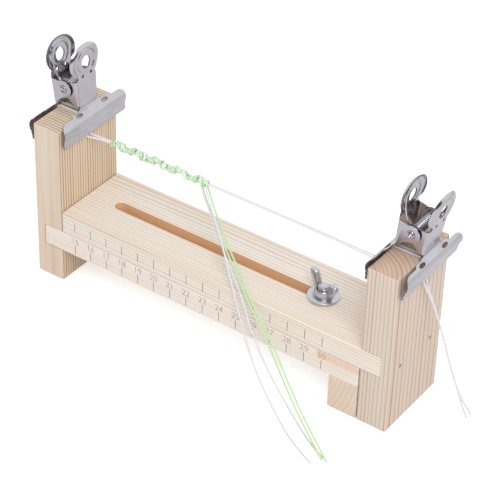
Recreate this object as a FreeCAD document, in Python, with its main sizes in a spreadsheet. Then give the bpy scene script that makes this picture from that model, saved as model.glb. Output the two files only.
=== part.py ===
"""Cord bracelet jig: two pine posts on two sliding boards, a slot with a wing nut, two spring clips.

The origin is the centre of the left post's foot. X runs along the boards towards the right post,
Y runs to the back and Z runs up. All sizes are millimetres.
"""
import FreeCAD, Part
import Sketcher
import math
import os

Vector = FreeCAD.Vector
UP = Vector(0, 0, 1)

SIZES = {
    # posts and boards
    "post_thickness": 16.25,
    "post_height": 90.25,
    "jig_depth": 45.5,
    "board_thickness": 11.8,
    "lower_board_underside": 19.1,
    "inner_width": 180.0,
    "housing_web": 5.0,
    "housing_fit": 0.1,
    "board_end_gap": 0.3,
    "foot_gap": 0.55,
    "slide_gap": 0.1,
    "edge_round": 0.7,
    # scale marks
    "mark_margin": 8.59,
    "mark_end_margin": 15.0,
    "mark_pitch": 10.0,
    "mark_width": 0.35,
    "mark_cut": 0.3,
    "mark_length": 5.4,
    "lower_mark_rise": 1.3,
    "upper_mark_rise": 2.8,
    # slot, bolt, washer and wing nut
    "bolt_margin": 36.15,
    "bolt_diameter": 6.0,
    "bolt_proud": 1.8,
    "bolt_play": 0.25,
    "bolt_head_diameter": 13.0,
    "bolt_head_height": 3.3,
    "bolt_neck_height": 3.4,
    "bolt_tip_chamfer": 0.5,
    "neck_fit": 0.05,
    "head_recess": 0.9,
    "slot_left_margin": 17.35,
    "slot_spare": 2.0,
    "washer_diameter": 16.2,
    "washer_thickness": 1.4,
    "washer_play": 0.2,
    "stack_gap": 0.05,
    "nut_base_wall": 2.4,
    "nut_top_wall": 1.4,
    "nut_height": 3.9,
    "nut_running_gap": 0.06,
    "wing_reach": 4.4,
    "wing_height": 10.2,
    "wing_thickness": 2.0,
    "wing_tip_width": 2.75,
    "wing_corner_width": 0.5,
    "wing_corner_height": 1.75,
    "wing_root_cover": 0.3,
    "wing_root_rise": 1.0,
    "wing_root_drop": 0.2,
    "wing_heel": 0.1,
    "wing_turn": 153.0,
    # brads
    "brad_diameter": 1.6,
    "brad_head_diameter": 2.1,
    "brad_head_height": 0.7,
    "brad_length": 25.0,
    "brad_sink": 0.3,
    "brad_fit": 0.03,
    "brad_spread": 13.2,
    "foot_brad_spread": 12.0,
    "foot_brad_cover": 5.9,
    # spring clips
    "sheet": 0.7,
    "jaw_length": 48.6,
    "lip_clearance": 1.4,
    "lip_drop": 24.5,
    "jaw_shoulder": 10.6,
    "jaw_corner": 2.2,
    "jaw_belly": 1.725,
    "shoulder_bend": 0.9,
    "crease_bend": 3.0,
    "curl_bend": 1.2,
    "lever_tilt": 3.44,
    "lever_spread": 0.385,
    "ring_rise": 14.28,
    "ring_half_width": 10.8,
    "ring_half_height": 8.9,
    "ring_hole_half_width": 3.1,
    "ring_hole_half_height": 3.4,
    "ring_hole_shift": 0.92,
    "neck_half_width": 7.2,
    "ear_outer_plane": 9.2,
    "ear_gap": 0.2,
    "ear_radius": 4.7,
    "ear_root_drop": 9.0,
    "outer_ear_rise": 8.0,
    "inner_ear_rise": 5.6,
    "ear_throat_out": 2.9,
    "ear_throat_drop": 6.3,
    "pin_diameter": 4.0,
    "pin_bore": 3.0,
    "pin_fit": 0.05,
    "pin_overhang": 0.45,
    "spring_wire": 0.9,
    "spring_turn_gap": 0.44,
    "spring_end_gap": 0.8,
    "spring_fit": 0.1,
    "spring_leg_gap": 0.3,
    "spring_leg_reach": 14.0,
    "left_clip_lean": 5.33,
    "left_clip_rise": 13.4,
    "left_clip_back": 3.22,
    "right_clip_lean": 8.29,
    "right_clip_rise": 14.23,
    "right_clip_back": 2.93,
    # cords
    "cord_diameter": 0.95,
    "cord_gap": 0.2,
    "cord_lip_bend": 1.2,
    "tail_bend": 8.0,
    "braid_diameter": 3.8,
    "braid_start": 21.9,
    "braid_length": 60.0,
    "braid_depth": 1.35,
    "braid_level": 78.1,
}

document = FreeCAD.newDocument("bracelet_jig")
sheet = document.addObject("Spreadsheet::Sheet", "sizes")
for row, (alias, number) in enumerate(SIZES.items(), start=1):
    cell = "A%d" % row
    sheet.set(cell, str(number))
    sheet.setAlias(cell, alias)
document.recompute()

parts = []


def size(alias):
    """Return one driving dimension from the sheet."""
    return float(sheet.get(alias))


def bound(text):
    """Write every size named in the text as a reference to the sheet."""
    words = []
    for word in text.split():
        words.append("sizes." + word if word in SIZES else word)
    return " ".join(words)


def bind(item, **expressions):
    """Bind properties of an object to the sheet: x, y and z stand for its place."""
    places = {"x": "Placement.Base.x", "y": "Placement.Base.y", "z": "Placement.Base.z"}
    for name, text in expressions.items():
        item.setExpression(places.get(name, name), bound(text))


def keep(item, name):
    """Label a finished sub-part, whose label names its file."""
    item.Label = name
    parts.append(item)
    return item


# Wood

LOWER_TOP = "lower_board_underside + board_thickness"
UPPER_UNDERSIDE = LOWER_TOP + " + slide_gap"
UPPER_TOP = UPPER_UNDERSIDE + " + board_thickness"
INNER_LEFT = "post_thickness / 2"
INNER_RIGHT = INNER_LEFT + " + inner_width"
HOUSING_LEFT_END = "-1 * post_thickness / 2 + housing_web"
HOUSING_RIGHT_END = INNER_RIGHT + " + post_thickness - housing_web"
FRONT = "-1 * jig_depth / 2"
BOLT_PLACE = INNER_RIGHT + " - bolt_margin"
SLOT_RADIUS = "bolt_diameter / 2 + bolt_play"


def origin_feature(body, role):
    """Find an axis or a plane of a body's own origin."""
    return [item for item in body.Origin.OriginFeatures if item.Role == role][0]


def timber(name, left, length, underside, height):
    """Make a block that spans the jig's depth, with eased edges."""
    body = document.addObject("PartDesign::Body", name)
    block = body.newObject("PartDesign::AdditiveBox", name + "_block")
    bind(block, x=left, y=FRONT, z=underside, Length=length, Width="jig_depth", Height=height)
    document.recompute()
    eased = body.newObject("PartDesign::Fillet", name + "_eased")
    eased.Base = (block, ["Edge%d" % number for number in range(1, 13)])
    bind(eased, Radius="edge_round")
    document.recompute()
    return keep(body, name)


def cut_box(body, name, **expressions):
    """Cut a box out of a body."""
    cut = body.newObject("PartDesign::SubtractiveBox", name)
    bind(cut, **expressions)
    return cut


def cut_round(body, name, turn, **expressions):
    """Cut a cylinder out of a body, turned about the Y axis by a number of degrees."""
    cut = body.newObject("PartDesign::SubtractiveCylinder", name)
    cut.Placement = FreeCAD.Placement(Vector(), FreeCAD.Rotation(Vector(0, 1, 0), turn))
    bind(cut, **expressions)
    return cut


def cut_housing(body, left, underside):
    """Cut the housing that a board's end is glued into, open at the post's front and back."""
    cut_box(
        body, body.Name + "_housing",
        x=left, y=FRONT + " - 1",
        z=underside + " - housing_fit",
        Length="post_thickness - housing_web + 1",
        Width="jig_depth + 2",
        Height="board_thickness + 2 * housing_fit",
    )


def cut_marks(body, underside, rise):
    """Cut the row of scale marks into a board's front edge."""
    mark = cut_box(
        body, body.Name + "_mark",
        x=INNER_LEFT + " + mark_margin - mark_width / 2", y=FRONT + " - 1",
        z=underside + " + " + rise,
        Length="mark_width", Width="mark_cut + 1", Height="mark_length",
    )
    document.recompute()
    row = body.newObject("PartDesign::LinearPattern", body.Name + "_marks")
    row.Originals = [mark]
    row.Direction = (origin_feature(body, "X_Axis"), [""])
    spaces = "floor( ( inner_width - mark_margin - mark_end_margin ) / mark_pitch )"
    bind(row, Length="mark_pitch * " + spaces, Occurrences=spaces + " + 1")
    body.Tip = row
    document.recompute()


BRAD_HOLE = "brad_diameter / 2 + brad_fit"
BRAD_HEAD_HOLE = "brad_head_diameter / 2 + brad_fit"


def brad_level(underside):
    """Say the height of the brads that hold a board's end."""
    return underside + " + board_thickness / 3"


def cut_side_brads(body, start, turn, underside):
    """Cut the two holes of the brads that run along X from a post's outer face."""
    for number, side in enumerate(("- brad_spread", "+ brad_spread"), start=1):
        cut_round(
            body, "%s_brad_hole_%d" % (body.Name, number), turn,
            x=start, y="0 " + side, z=brad_level(underside),
            Radius=BRAD_HOLE, Height="brad_length + 1",
        )


def cut_side_brad_heads(body, start, turn, underside):
    """Widen the outer ends of those holes for the brads' heads."""
    for number, side in enumerate(("- brad_spread", "+ brad_spread"), start=1):
        cut_round(
            body, "%s_brad_mouth_%d" % (body.Name, number), turn,
            x=start, y="0 " + side, z=brad_level(underside),
            Radius=BRAD_HEAD_HOLE, Height="brad_sink + brad_head_height + brad_fit",
        )


LEFT_OUTSIDE = "-1 * post_thickness / 2"
RIGHT_OUTSIDE = INNER_RIGHT + " + post_thickness"


def make_left_post():
    """Upright block whose housing takes the lower board's left end."""
    body = timber("left_post", LEFT_OUTSIDE, "post_thickness", "0", "post_height")
    cut_housing(body, HOUSING_LEFT_END, "lower_board_underside")
    cut_side_brads(body, LEFT_OUTSIDE, 90, "lower_board_underside")
    cut_side_brad_heads(body, LEFT_OUTSIDE, 90, "lower_board_underside")


def make_right_post():
    """Upright block whose housing takes the upper board's right end."""
    body = timber("right_post", INNER_RIGHT, "post_thickness", "0", "post_height")
    cut_housing(body, INNER_RIGHT + " - 1", UPPER_UNDERSIDE)
    cut_side_brads(body, RIGHT_OUTSIDE, -90, UPPER_UNDERSIDE)
    cut_side_brad_heads(body, RIGHT_OUTSIDE, -90, UPPER_UNDERSIDE)


def make_lower_board():
    """Fixed board with scale marks, the bolt's hole and the recesses of its neck and head."""
    body = timber(
        "lower_board", HOUSING_LEFT_END + " + housing_fit",
        INNER_RIGHT + " - foot_gap - ( " + HOUSING_LEFT_END + " + housing_fit )",
        "lower_board_underside", "board_thickness",
    )
    cut_marks(body, "lower_board_underside", "lower_mark_rise")
    cut_round(
        body, "bolt_hole", 0, x=BOLT_PLACE, z="lower_board_underside - 1",
        Radius=SLOT_RADIUS, Height="board_thickness + 2",
    )
    cut_round(
        body, "bolt_head_recess", 0, x=BOLT_PLACE, z="lower_board_underside - 1",
        Radius="bolt_head_diameter / 2 + bolt_play", Height="head_recess + 1",
    )
    cut_box(
        body, "bolt_neck_recess",
        x=BOLT_PLACE + " - bolt_diameter / 2 - neck_fit", y="-1 * bolt_diameter / 2 - neck_fit",
        z="lower_board_underside",
        Length="bolt_diameter + 2 * neck_fit", Width="bolt_diameter + 2 * neck_fit",
        Height="head_recess + bolt_neck_height + bolt_play",
    )
    cut_side_brads(body, LEFT_OUTSIDE, 90, "lower_board_underside")
    cut_foot_brads(body)


def make_upper_board():
    """Sliding board with scale marks and the long slot that the bolt passes."""
    body = timber(
        "upper_board", INNER_LEFT + " + board_end_gap",
        HOUSING_RIGHT_END + " - housing_fit - ( " + INNER_LEFT + " + board_end_gap )",
        UPPER_UNDERSIDE, "board_thickness",
    )
    cut_marks(body, UPPER_UNDERSIDE, "upper_mark_rise")
    slot_left = INNER_LEFT + " + slot_left_margin + " + SLOT_RADIUS
    slot_right = BOLT_PLACE + " + slot_spare"
    cut_box(
        body, "slot", x=slot_left, y="-1 * ( " + SLOT_RADIUS + " )", z=UPPER_UNDERSIDE + " - 1",
        Length=slot_right + " - ( " + slot_left + " )", Width="2 * ( " + SLOT_RADIUS + " )",
        Height="board_thickness + 2",
    )
    for name, end in (("slot_left_end", slot_left), ("slot_right_end", slot_right)):
        cut_round(
            body, name, 0, x=end, z=UPPER_UNDERSIDE + " - 1",
            Radius=SLOT_RADIUS, Height="board_thickness + 2",
        )
    cut_side_brads(body, RIGHT_OUTSIDE, -90, UPPER_UNDERSIDE)


FOOT_LEFT = INNER_RIGHT + " - foot_gap - post_thickness"
FOOT_BRAD_LENGTH = LOWER_TOP + " - foot_brad_cover"


def foot_brad_places():
    """List the names and the Y places of the brads in the foot block."""
    return (("front", "0 - foot_brad_spread"), ("back", "0 + foot_brad_spread"))


def cut_foot_brads(body):
    """Cut the holes of the brads that run down from the lower board's top."""
    for name, place in foot_brad_places():
        cut_round(
            body, "%s_foot_brad_%s" % (body.Name, name), 180,
            x=FOOT_LEFT + " + post_thickness / 2", y=place, z=LOWER_TOP,
            Radius=BRAD_HOLE, Height=FOOT_BRAD_LENGTH + " + 1",
        )
        cut_round(
            body, "%s_foot_brad_mouth_%s" % (body.Name, name), 180,
            x=FOOT_LEFT + " + post_thickness / 2", y=place, z=LOWER_TOP,
            Radius=BRAD_HEAD_HOLE, Height="brad_sink + brad_head_height + brad_fit",
        )


def make_foot_block():
    """Small block that holds the lower board's right end level."""
    body = timber("foot_block", FOOT_LEFT, "post_thickness", "0", "lower_board_underside")
    cut_foot_brads(body)


# Fasteners


def cylinder(name, radius, height, **place):
    """Make a cylinder whose place is bound to the sheet."""
    item = document.addObject("Part::Cylinder", name)
    bind(item, Radius=radius, Height=height, **place)
    return item


def brad(name, length, turn, x, y, z):
    """Make one brad that lies from its head, at the given place, along the turned Z axis."""
    shank = cylinder(name + "_shank", "brad_diameter / 2", length + " - brad_sink", z="brad_sink")
    head = cylinder(name + "_head", "brad_head_diameter / 2", "brad_head_height", z="brad_sink")
    nail = document.addObject("Part::MultiFuse", name)
    nail.Shapes = [shank, head]
    nail.Placement = FreeCAD.Placement(Vector(), FreeCAD.Rotation(Vector(0, 1, 0), turn))
    bind(nail, x=x, y=y, z=z)
    return nail


def nail_group(name, nails):
    """Gather like nails, each a solid of its own, in one sub-part."""
    group = document.addObject("Part::Compound", name)
    group.Links = nails
    keep(group, name)


def make_side_nails(name, start, turn, underside):
    """Make the two brads that run along X from a post's outer face into a board's end."""
    nails = []
    for number, side in enumerate(("- brad_spread", "+ brad_spread"), start=1):
        label = "%s_%d" % (name, number)
        nails.append(brad(label, "brad_length", turn, start, "0 " + side, brad_level(underside)))
    nail_group(name, nails)


def make_foot_nails():
    """Make the two brads that run down through the lower board into the foot block."""
    nails = []
    for name, place in foot_brad_places():
        middle = FOOT_LEFT + " + post_thickness / 2"
        nails.append(brad("foot_block_nail_" + name, FOOT_BRAD_LENGTH, 180, middle, place, LOWER_TOP))
    nail_group("foot_block_nails", nails)


def dome(radius, height):
    """Make a flat-topped cap of a ball, hanging down from the origin."""
    ball_radius = (radius * radius + height * height) / (2 * height)
    ball = Part.makeSphere(ball_radius, Vector(0, 0, ball_radius - height))
    return ball.common(Part.makeCylinder(2 * radius, height, Vector(0, 0, -height)))


WASHER_UNDERSIDE = UPPER_TOP + " + stack_gap"
NUT_UNDERSIDE = WASHER_UNDERSIDE + " + washer_thickness + stack_gap"


def make_clamp_bolt():
    """Coach bolt: a mushroom head and square neck under the lower board, a shank through the slot."""
    clamped = 2 * size("board_thickness") + size("slide_gap") - size("head_recess")
    stacked = size("washer_thickness") + 2 * size("stack_gap") + size("nut_height")
    shank_height = clamped + stacked + size("bolt_proud")
    radius = size("bolt_diameter") / 2
    chamfer = size("bolt_tip_chamfer")
    shank = Part.makeCylinder(radius, shank_height - chamfer)
    tip = Part.makeCone(radius, radius - chamfer, chamfer, Vector(0, 0, shank_height - chamfer))
    neck = Part.makeBox(2 * radius, 2 * radius, size("bolt_neck_height"), Vector(-radius, -radius, 0))
    head = dome(size("bolt_head_diameter") / 2, size("bolt_head_height"))
    bolt = document.addObject("Part::Feature", "clamp_bolt")
    bolt.Shape = shank.fuse([tip, neck, head]).removeSplitter()
    bind(bolt, x=BOLT_PLACE, z="lower_board_underside + head_recess")
    keep(bolt, "clamp_bolt")


def make_washer():
    """Plain washer under the wing nut."""
    disc = cylinder("washer_disc", "washer_diameter / 2", "washer_thickness")
    hole = cylinder("washer_hole", "bolt_diameter / 2 + washer_play", "washer_thickness + 2", z="-1")
    washer = document.addObject("Part::Cut", "clamp_washer")
    washer.Base = disc
    washer.Tool = hole
    bind(washer, x=BOLT_PLACE, z=WASHER_UNDERSIDE)
    keep(washer, "clamp_washer")


NUT_BASE = "bolt_diameter / 2 + nut_base_wall"
NUT_TOP = "bolt_diameter / 2 + nut_top_wall"
WING_ROOT = "bolt_diameter / 2 + nut_running_gap + wing_root_cover"
WING_TIP = NUT_BASE + " + wing_reach"


def wing_outline(sketch, side):
    """Draw one wing's outline, pinned corner by corner to the sheet, on the given side of the nut."""
    corners = (
        (WING_ROOT, "wing_root_rise"),
        (NUT_BASE + " - wing_heel", "wing_root_rise"),
        (WING_TIP, "wing_height - wing_corner_height"),
        (WING_TIP + " - wing_corner_width", "wing_height"),
        (WING_TIP + " - wing_tip_width", "wing_height"),
        (WING_ROOT, "nut_height - wing_root_drop"),
    )
    places = []
    for across, up in corners:
        across = "%d * ( %s )" % (side, across)
        x, y = [float(sketch.evalExpression(bound(place))) for place in (across, up)]
        places.append((across, up, x, y))
    first = len(sketch.Geometry)
    for number, (_, _, x, y) in enumerate(places):
        _, _, next_x, next_y = places[(number + 1) % len(places)]
        sketch.addGeometry(Part.LineSegment(Vector(x, y, 0), Vector(next_x, next_y, 0)))
    for number, (across, up, x, y) in enumerate(places):
        line = first + number
        previous = first + (number - 1) % len(places)
        sketch.addConstraint(Sketcher.Constraint("Coincident", previous, 2, line, 1))
        for kind, text, value in (("DistanceX", across, x), ("DistanceY", up, y)):
            spot = sketch.addConstraint(Sketcher.Constraint(kind, -1, 1, line, 1, value))
            sketch.setExpression("Constraints[%d]" % spot, bound(text))


def make_wing_nut():
    """Nut with a tapered hub and two upright wings, on the bolt's end."""
    body = document.addObject("PartDesign::Body", "wing_nut")
    hub = body.newObject("PartDesign::AdditiveCone", "nut_hub")
    bind(hub, Radius1=NUT_BASE, Radius2=NUT_TOP, Height="nut_height")
    document.recompute()
    sketch = body.newObject("Sketcher::SketchObject", "wing_outlines")
    sketch.AttachmentSupport = [(origin_feature(body, "XZ_Plane"), "")]
    sketch.MapMode = "FlatFace"
    for side in (-1, 1):
        wing_outline(sketch, side)
    document.recompute()
    wings = body.newObject("PartDesign::Pad", "wings")
    wings.Profile = sketch
    wings.SideType = "Symmetric"
    bind(wings, Length="wing_thickness")
    document.recompute()
    cut_round(
        body, "nut_bore", 0, z="-1",
        Radius="bolt_diameter / 2 + nut_running_gap", Height="nut_height + 2",
    )
    body.Placement = FreeCAD.Placement(Vector(), FreeCAD.Rotation(UP, size("wing_turn")))
    bind(body, x=BOLT_PLACE, z=NUT_UNDERSIDE)
    body.setExpression("Placement.Rotation.Angle", bound("wing_turn"))
    document.recompute()
    keep(body, "wing_nut")


# Spring clips. A clip is drawn about its pin: X away from the half on the left, Z towards the levers.
# The jaw's sheet turns by these angles, in degrees, on the way from the neck to the lip.

SHOULDER_TURN = 75.0
BULGE_TURN = -89.0
CREASE_TURN = 9.0
CURL_TURN = 25.0
# The ear's round end meets its straight top edge at this angle above level.
EAR_TOP_ANGLE = 57.0


def bent_strip(start, heading, bends, thickness):
    """Make the outline of a bent sheet from a midline of straight and curved lengths.

    Each bend is (length, turn): the midline runs on for the length while its heading, in degrees,
    turns evenly, to the left where the turn is positive.
    """
    left, right = [], []
    spot = Vector(*start)
    for length, turn in bends:
        steps = (0, 0.5, 1) if turn else (0, 1)
        track = []
        for share in steps:
            angle = math.radians(heading + share * turn)
            track.append((strip_point(spot, heading, length * share, turn * share), angle))
        for side, edges in ((1, left), (-1, right)):
            shift = side * thickness / 2
            line = [p + Vector(-math.sin(a), 0, math.cos(a)) * shift for p, a in track]
            if turn:
                edges.append(Part.Arc(*line).toShape())
            else:
                edges.append(Part.LineSegment(*line).toShape())
        spot = track[-1][0]
        heading = heading + turn
    caps = []
    for index in (0, -1):
        ends = [side[index].Vertexes[index].Point for side in (left, right)]
        caps.append(Part.LineSegment(*ends).toShape())
    return Part.Face(Part.Wire(Part.__sortEdges__(left + right + caps)))


def strip_point(spot, heading, length, turn):
    """Follow an arc, or a straight line where the turn is nothing, and return where it ends."""
    start = math.radians(heading)
    if not turn:
        return spot + Vector(math.cos(start), 0, math.sin(start)) * length
    radius = length / math.radians(turn)
    end = math.radians(heading + turn)
    across = radius * (math.sin(end) - math.sin(start))
    up = radius * (math.cos(start) - math.cos(end))
    return spot + Vector(across, 0, up)


def sweep_along_y(face, width):
    """Give a flat outline a width, half to each side of the clip's middle."""
    shape = face.extrude(Vector(0, width, 0))
    shape.translate(Vector(0, -width / 2, 0))
    return shape


def lever_middle(height):
    """Return how far out the lever's sheet lies at a height above the pin."""
    slope = math.tan(math.radians(size("lever_tilt")))
    at_ring = size("post_thickness") / 2 + size("lever_spread")
    return at_ring + (height - size("ring_rise")) * slope


def lip_inner():
    """Return how far out the lip's inner face lies from the middle of the post."""
    return size("post_thickness") / 2 + size("lip_clearance")


def jaw_bulge():
    """Return how far out the middle of the jaw's sheet bulges."""
    return lip_inner() + size("jaw_belly")


def jaw_bends(start, start_heading):
    """List the jaw's bends so that the lip ends at its own height, its inner face off the post.

    The two straight lengths, above and below the crease, are the ones that make both hold.
    """
    shoulder_length = size("shoulder_bend") * math.radians(SHOULDER_TURN)
    shoulder_end = strip_point(start, start_heading, shoulder_length, SHOULDER_TURN)
    heading = start_heading + SHOULDER_TURN
    bulge_radius = (jaw_bulge() - shoulder_end.x) / (1 + math.sin(math.radians(heading)))
    bulge_length = bulge_radius * math.radians(-BULGE_TURN)
    bulge_end = strip_point(shoulder_end, heading, bulge_length, BULGE_TURN)
    flank_heading = heading + BULGE_TURN
    lip_heading = flank_heading + CREASE_TURN
    crease_length = size("crease_bend") * math.radians(CREASE_TURN)
    crease = strip_point(Vector(), flank_heading, crease_length, CREASE_TURN)
    curl_length = size("curl_bend") * math.radians(CURL_TURN)
    curl = strip_point(Vector(), lip_heading, curl_length, CURL_TURN)
    across = lip_inner() + size("sheet") / 2 - bulge_end.x - crease.x
    down = -size("lip_drop") - bulge_end.z - crease.z - curl.z
    flank_way = strip_point(Vector(), flank_heading, 1, 0)
    lip_way = strip_point(Vector(), lip_heading, 1, 0)
    crossed = flank_way.x * lip_way.z - flank_way.z * lip_way.x
    flank = (across * lip_way.z - down * lip_way.x) / crossed
    lip = (flank_way.x * down - flank_way.z * across) / crossed
    return [
        (shoulder_length, SHOULDER_TURN), (bulge_length, BULGE_TURN), (flank, 0),
        (crease_length, CREASE_TURN), (lip, 0), (curl_length, CURL_TURN),
    ]


def jaw_solid():
    """Jaw: a shoulder bent out from the neck, a round bulge and a lip that leans in to the post."""
    shoulder = size("jaw_shoulder")
    heading = -90 - size("lever_tilt")
    start = Vector(lever_middle(-shoulder), 0, -shoulder)
    face = bent_strip(start, heading, jaw_bends(start, heading), size("sheet"))
    jaw = sweep_along_y(face, size("jaw_length"))
    return jaw.common(jaw_end_shape())


def rounded_plate(half_width, low, high, corner):
    """Make a thick block along X whose outline, seen along X, has round corners."""
    depth = 4 * jaw_bulge()
    edges = []
    block = Part.makeBox(depth, 2 * half_width, high - low, Vector(0, -half_width, low))
    for edge in block.Edges:
        start, end = edge.Vertexes[0].Point, edge.Vertexes[-1].Point
        if abs(start.x - end.x) > depth / 2:
            edges.append(edge)
    return block.makeFillet(corner, edges)


def jaw_end_shape():
    """Make the block that rounds the jaw's four corners."""
    top = size("sheet") - size("jaw_shoulder")
    return rounded_plate(size("jaw_length") / 2, -size("lip_drop"), top, size("jaw_corner"))


def lever_sheet(width, low, high):
    """Make a flat piece of the lever's sheet between two heights."""
    length = (high - low) / math.cos(math.radians(size("lever_tilt")))
    start = Vector(lever_middle(low), 0, low)
    face = bent_strip(start, 90 - size("lever_tilt"), [(length, 0)], size("sheet"))
    return sweep_along_y(face, width)


def ellipse_block(half_width, half_height, rise):
    """Make a block along X with an elliptic outline, to cut a ring or its hole."""
    depth = 4 * jaw_bulge()
    if half_width > half_height:
        curve = Part.Ellipse(Vector(), half_width, half_height)
        turn = FreeCAD.Rotation(Vector(0, 1, 0), Vector(0, 0, 1), Vector(1, 0, 0), "XYZ")
    else:
        curve = Part.Ellipse(Vector(), half_height, half_width)
        turn = FreeCAD.Rotation(Vector(0, 0, 1), Vector(0, -1, 0), Vector(1, 0, 0), "XYZ")
    block = Part.Face(Part.Wire(curve.toShape())).extrude(UP * depth)
    block.Placement = FreeCAD.Placement(Vector(-depth / 4, 0, rise), turn)
    return block


def ear_solid(plane, side, root_rise):
    """Make one ear: a flat tongue from the lever's edge to a round end about the pin.

    plane is the ear's outer face, side is -1 for the front ear, root_rise is how far up its root goes.
    """
    thickness = size("sheet")
    radius = size("ear_radius")
    drop = size("ear_root_drop")
    top_angle = math.radians(EAR_TOP_ANGLE)
    reach = 2 * jaw_bulge()
    root = Vector(lever_middle(-drop), 0, -drop)
    web = Part.Face(Part.makePolygon([
        root,
        Vector(lever_middle(root_rise), 0, root_rise),
        Vector(radius * math.cos(top_angle), 0, radius * math.sin(top_angle)),
        Vector(0, 0, radius),
        Vector(0, 0, -radius),
        Vector(size("ear_throat_out"), 0, -size("ear_throat_drop")),
        root,
    ]))
    disc = Part.Face(Part.Wire(Part.Circle(Vector(), Vector(0, 1, 0), radius).toShape()))
    ear = web.extrude(Vector(0, thickness, 0)).fuse(disc.extrude(Vector(0, thickness, 0)))
    ear = ear.removeSplitter()
    hole_radius = size("pin_diameter") / 2 + size("pin_fit")
    hole = Part.makeCylinder(hole_radius, reach, Vector(0, -reach / 2, 0), Vector(0, 1, 0))
    ear = ear.cut(hole)
    ear.translate(Vector(0, side * plane - (thickness if side > 0 else 0), 0))
    return ear


def clip_half_shape(outer_ears):
    """Build one half of a clip, with its jaw and lever on the side of +X."""
    ear_plane = size("ear_outer_plane")
    if not outer_ears:
        ear_plane = ear_plane - size("sheet") - size("ear_gap")
    rise = size("ring_rise")
    top = rise + size("ring_half_height")
    ring_outline = ellipse_block(size("ring_half_width"), size("ring_half_height"), rise)
    ring = lever_sheet(3 * size("ring_half_width"), rise - size("ring_half_height"), top + 1)
    ring = ring.common(ring_outline)
    neck = lever_sheet(2 * size("neck_half_width"), -size("jaw_shoulder"), rise)
    root_rise = size("outer_ear_rise") if outer_ears else size("inner_ear_rise")
    flange = lever_sheet(2 * ear_plane, -size("ear_root_drop"), root_rise)
    half = ring.fuse([neck, flange, jaw_solid()])
    for side in (-1, 1):
        half = half.fuse(ear_solid(ear_plane, side, root_rise))
    hole_rise = rise - size("ring_hole_shift")
    half = half.cut(ellipse_block(size("ring_hole_half_width"), size("ring_hole_half_height"), hole_rise))
    return half.removeSplitter()


def clip_placement(middle, lean, rise, back):
    """Place a clip whose lips close on a post: its pin stands over the post's top and leans."""
    angle = math.radians(lean)
    pin_x = middle + math.sin(angle) * size("lip_drop")
    pin_z = size("post_height") + rise
    return FreeCAD.Placement(Vector(pin_x, back, pin_z), FreeCAD.Rotation(Vector(0, 1, 0), lean))


def place_clip_piece(name, shape, placement):
    """Keep one piece of a clip at the clip's place."""
    item = document.addObject("Part::Feature", name)
    item.Shape = shape
    item.Placement = placement
    keep(item, name)


def pin_shape():
    """Hollow pin that runs through the four ears."""
    length = 2 * (size("ear_outer_plane") + size("pin_overhang"))
    start = Vector(0, -length / 2, 0)
    along = Vector(0, 1, 0)
    outside = Part.makeCylinder(size("pin_diameter") / 2, length, start, along)
    return outside.cut(Part.makeCylinder(size("pin_bore") / 2, length, start, along))


def joined_arcs(start, start_way, end, end_way):
    """Join two points, each with its direction, by two arcs that meet smoothly."""
    chord = end - start
    both = start_way + end_way
    spread = 2 * (1 - start_way.dot(end_way))
    along = chord.dot(both)
    reach = (math.sqrt(along * along + spread * chord.dot(chord)) - along) / spread
    middle = (start + end + (start_way - end_way) * reach) * 0.5
    return [half_arc(start, middle, start_way), half_arc(end, middle, end_way * -1)]


def half_arc(start, end, way):
    """Make the arc that leaves start in one direction and passes end."""
    chord = end - start
    length = chord.Length
    flat = chord * (1 / length)
    side = way - flat * way.dot(flat)
    if side.Length < 1e-9:
        return Part.LineSegment(start, end).toShape()
    angle = math.atan2(side.Length, way.dot(flat))
    middle = (start + end) * 0.5 + side.normalize() * (length / 2 * math.tan(angle / 2))
    return Part.Arc(start, middle, end).toShape()


def spring_shape():
    """Torsion spring: a coil on the pin whose two legs run up behind the levers."""
    wire = size("spring_wire")
    radius = size("pin_diameter") / 2 + size("spring_fit") + wire / 2
    tip_height = size("spring_leg_reach")
    tip_x = lever_middle(tip_height) - size("sheet") / 2 - size("spring_leg_gap") - wire / 2
    distance = math.hypot(tip_x, tip_height)
    tip_angle = math.atan2(tip_height, -tip_x)
    first_angle = tip_angle + math.acos(radius / distance)
    ear_inside = size("ear_outer_plane") - 2 * size("sheet") - size("ear_gap")
    length = 2 * (ear_inside - size("spring_end_gap")) - wire
    part_turn = 1.5 - first_angle / math.pi
    whole_turns = math.floor(length / (wire + size("spring_turn_gap")) - part_turn)
    sweep = 2 * math.pi * (whole_turns + part_turn)
    quarters = round(sweep / (math.pi / 2))
    step = sweep / quarters
    rise = length / sweep

    def coil_spot(turned):
        angle = first_angle + turned
        return Vector(radius * math.cos(angle), turned * rise - length / 2, radius * math.sin(angle))

    def coil_way(turned, climb):
        angle = first_angle + turned
        way = Vector(-radius * math.sin(angle), climb, radius * math.cos(angle))
        return way.normalize()

    edges = []
    tip = Vector(-tip_x, coil_spot(0).y, tip_height)
    edges.append(Part.LineSegment(tip, coil_spot(0)).toShape())
    for number in range(quarters):
        first, last = number * step, (number + 1) * step
        first_climb = 0 if number == 0 else rise
        last_climb = 0 if number == quarters - 1 else rise
        edges += joined_arcs(
            coil_spot(first), coil_way(first, first_climb), coil_spot(last), coil_way(last, last_climb)
        )
    far_tip = Vector(tip_x, coil_spot(sweep).y, tip_height)
    edges.append(Part.LineSegment(coil_spot(sweep), far_tip).toShape())
    path = Part.Wire(edges)
    way = (coil_spot(0) - tip).normalize()
    section = Part.Wire(Part.Circle(tip, way, wire / 2).toShape())
    coil = path.makePipeShell([section], True, False)
    gap = least_turn_gap(coil_spot, sweep, wire)
    print("spring: least gap of the coil to itself %.3f mm, %.1f turns" % (gap, sweep / (2 * math.pi)))
    return coil


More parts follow.
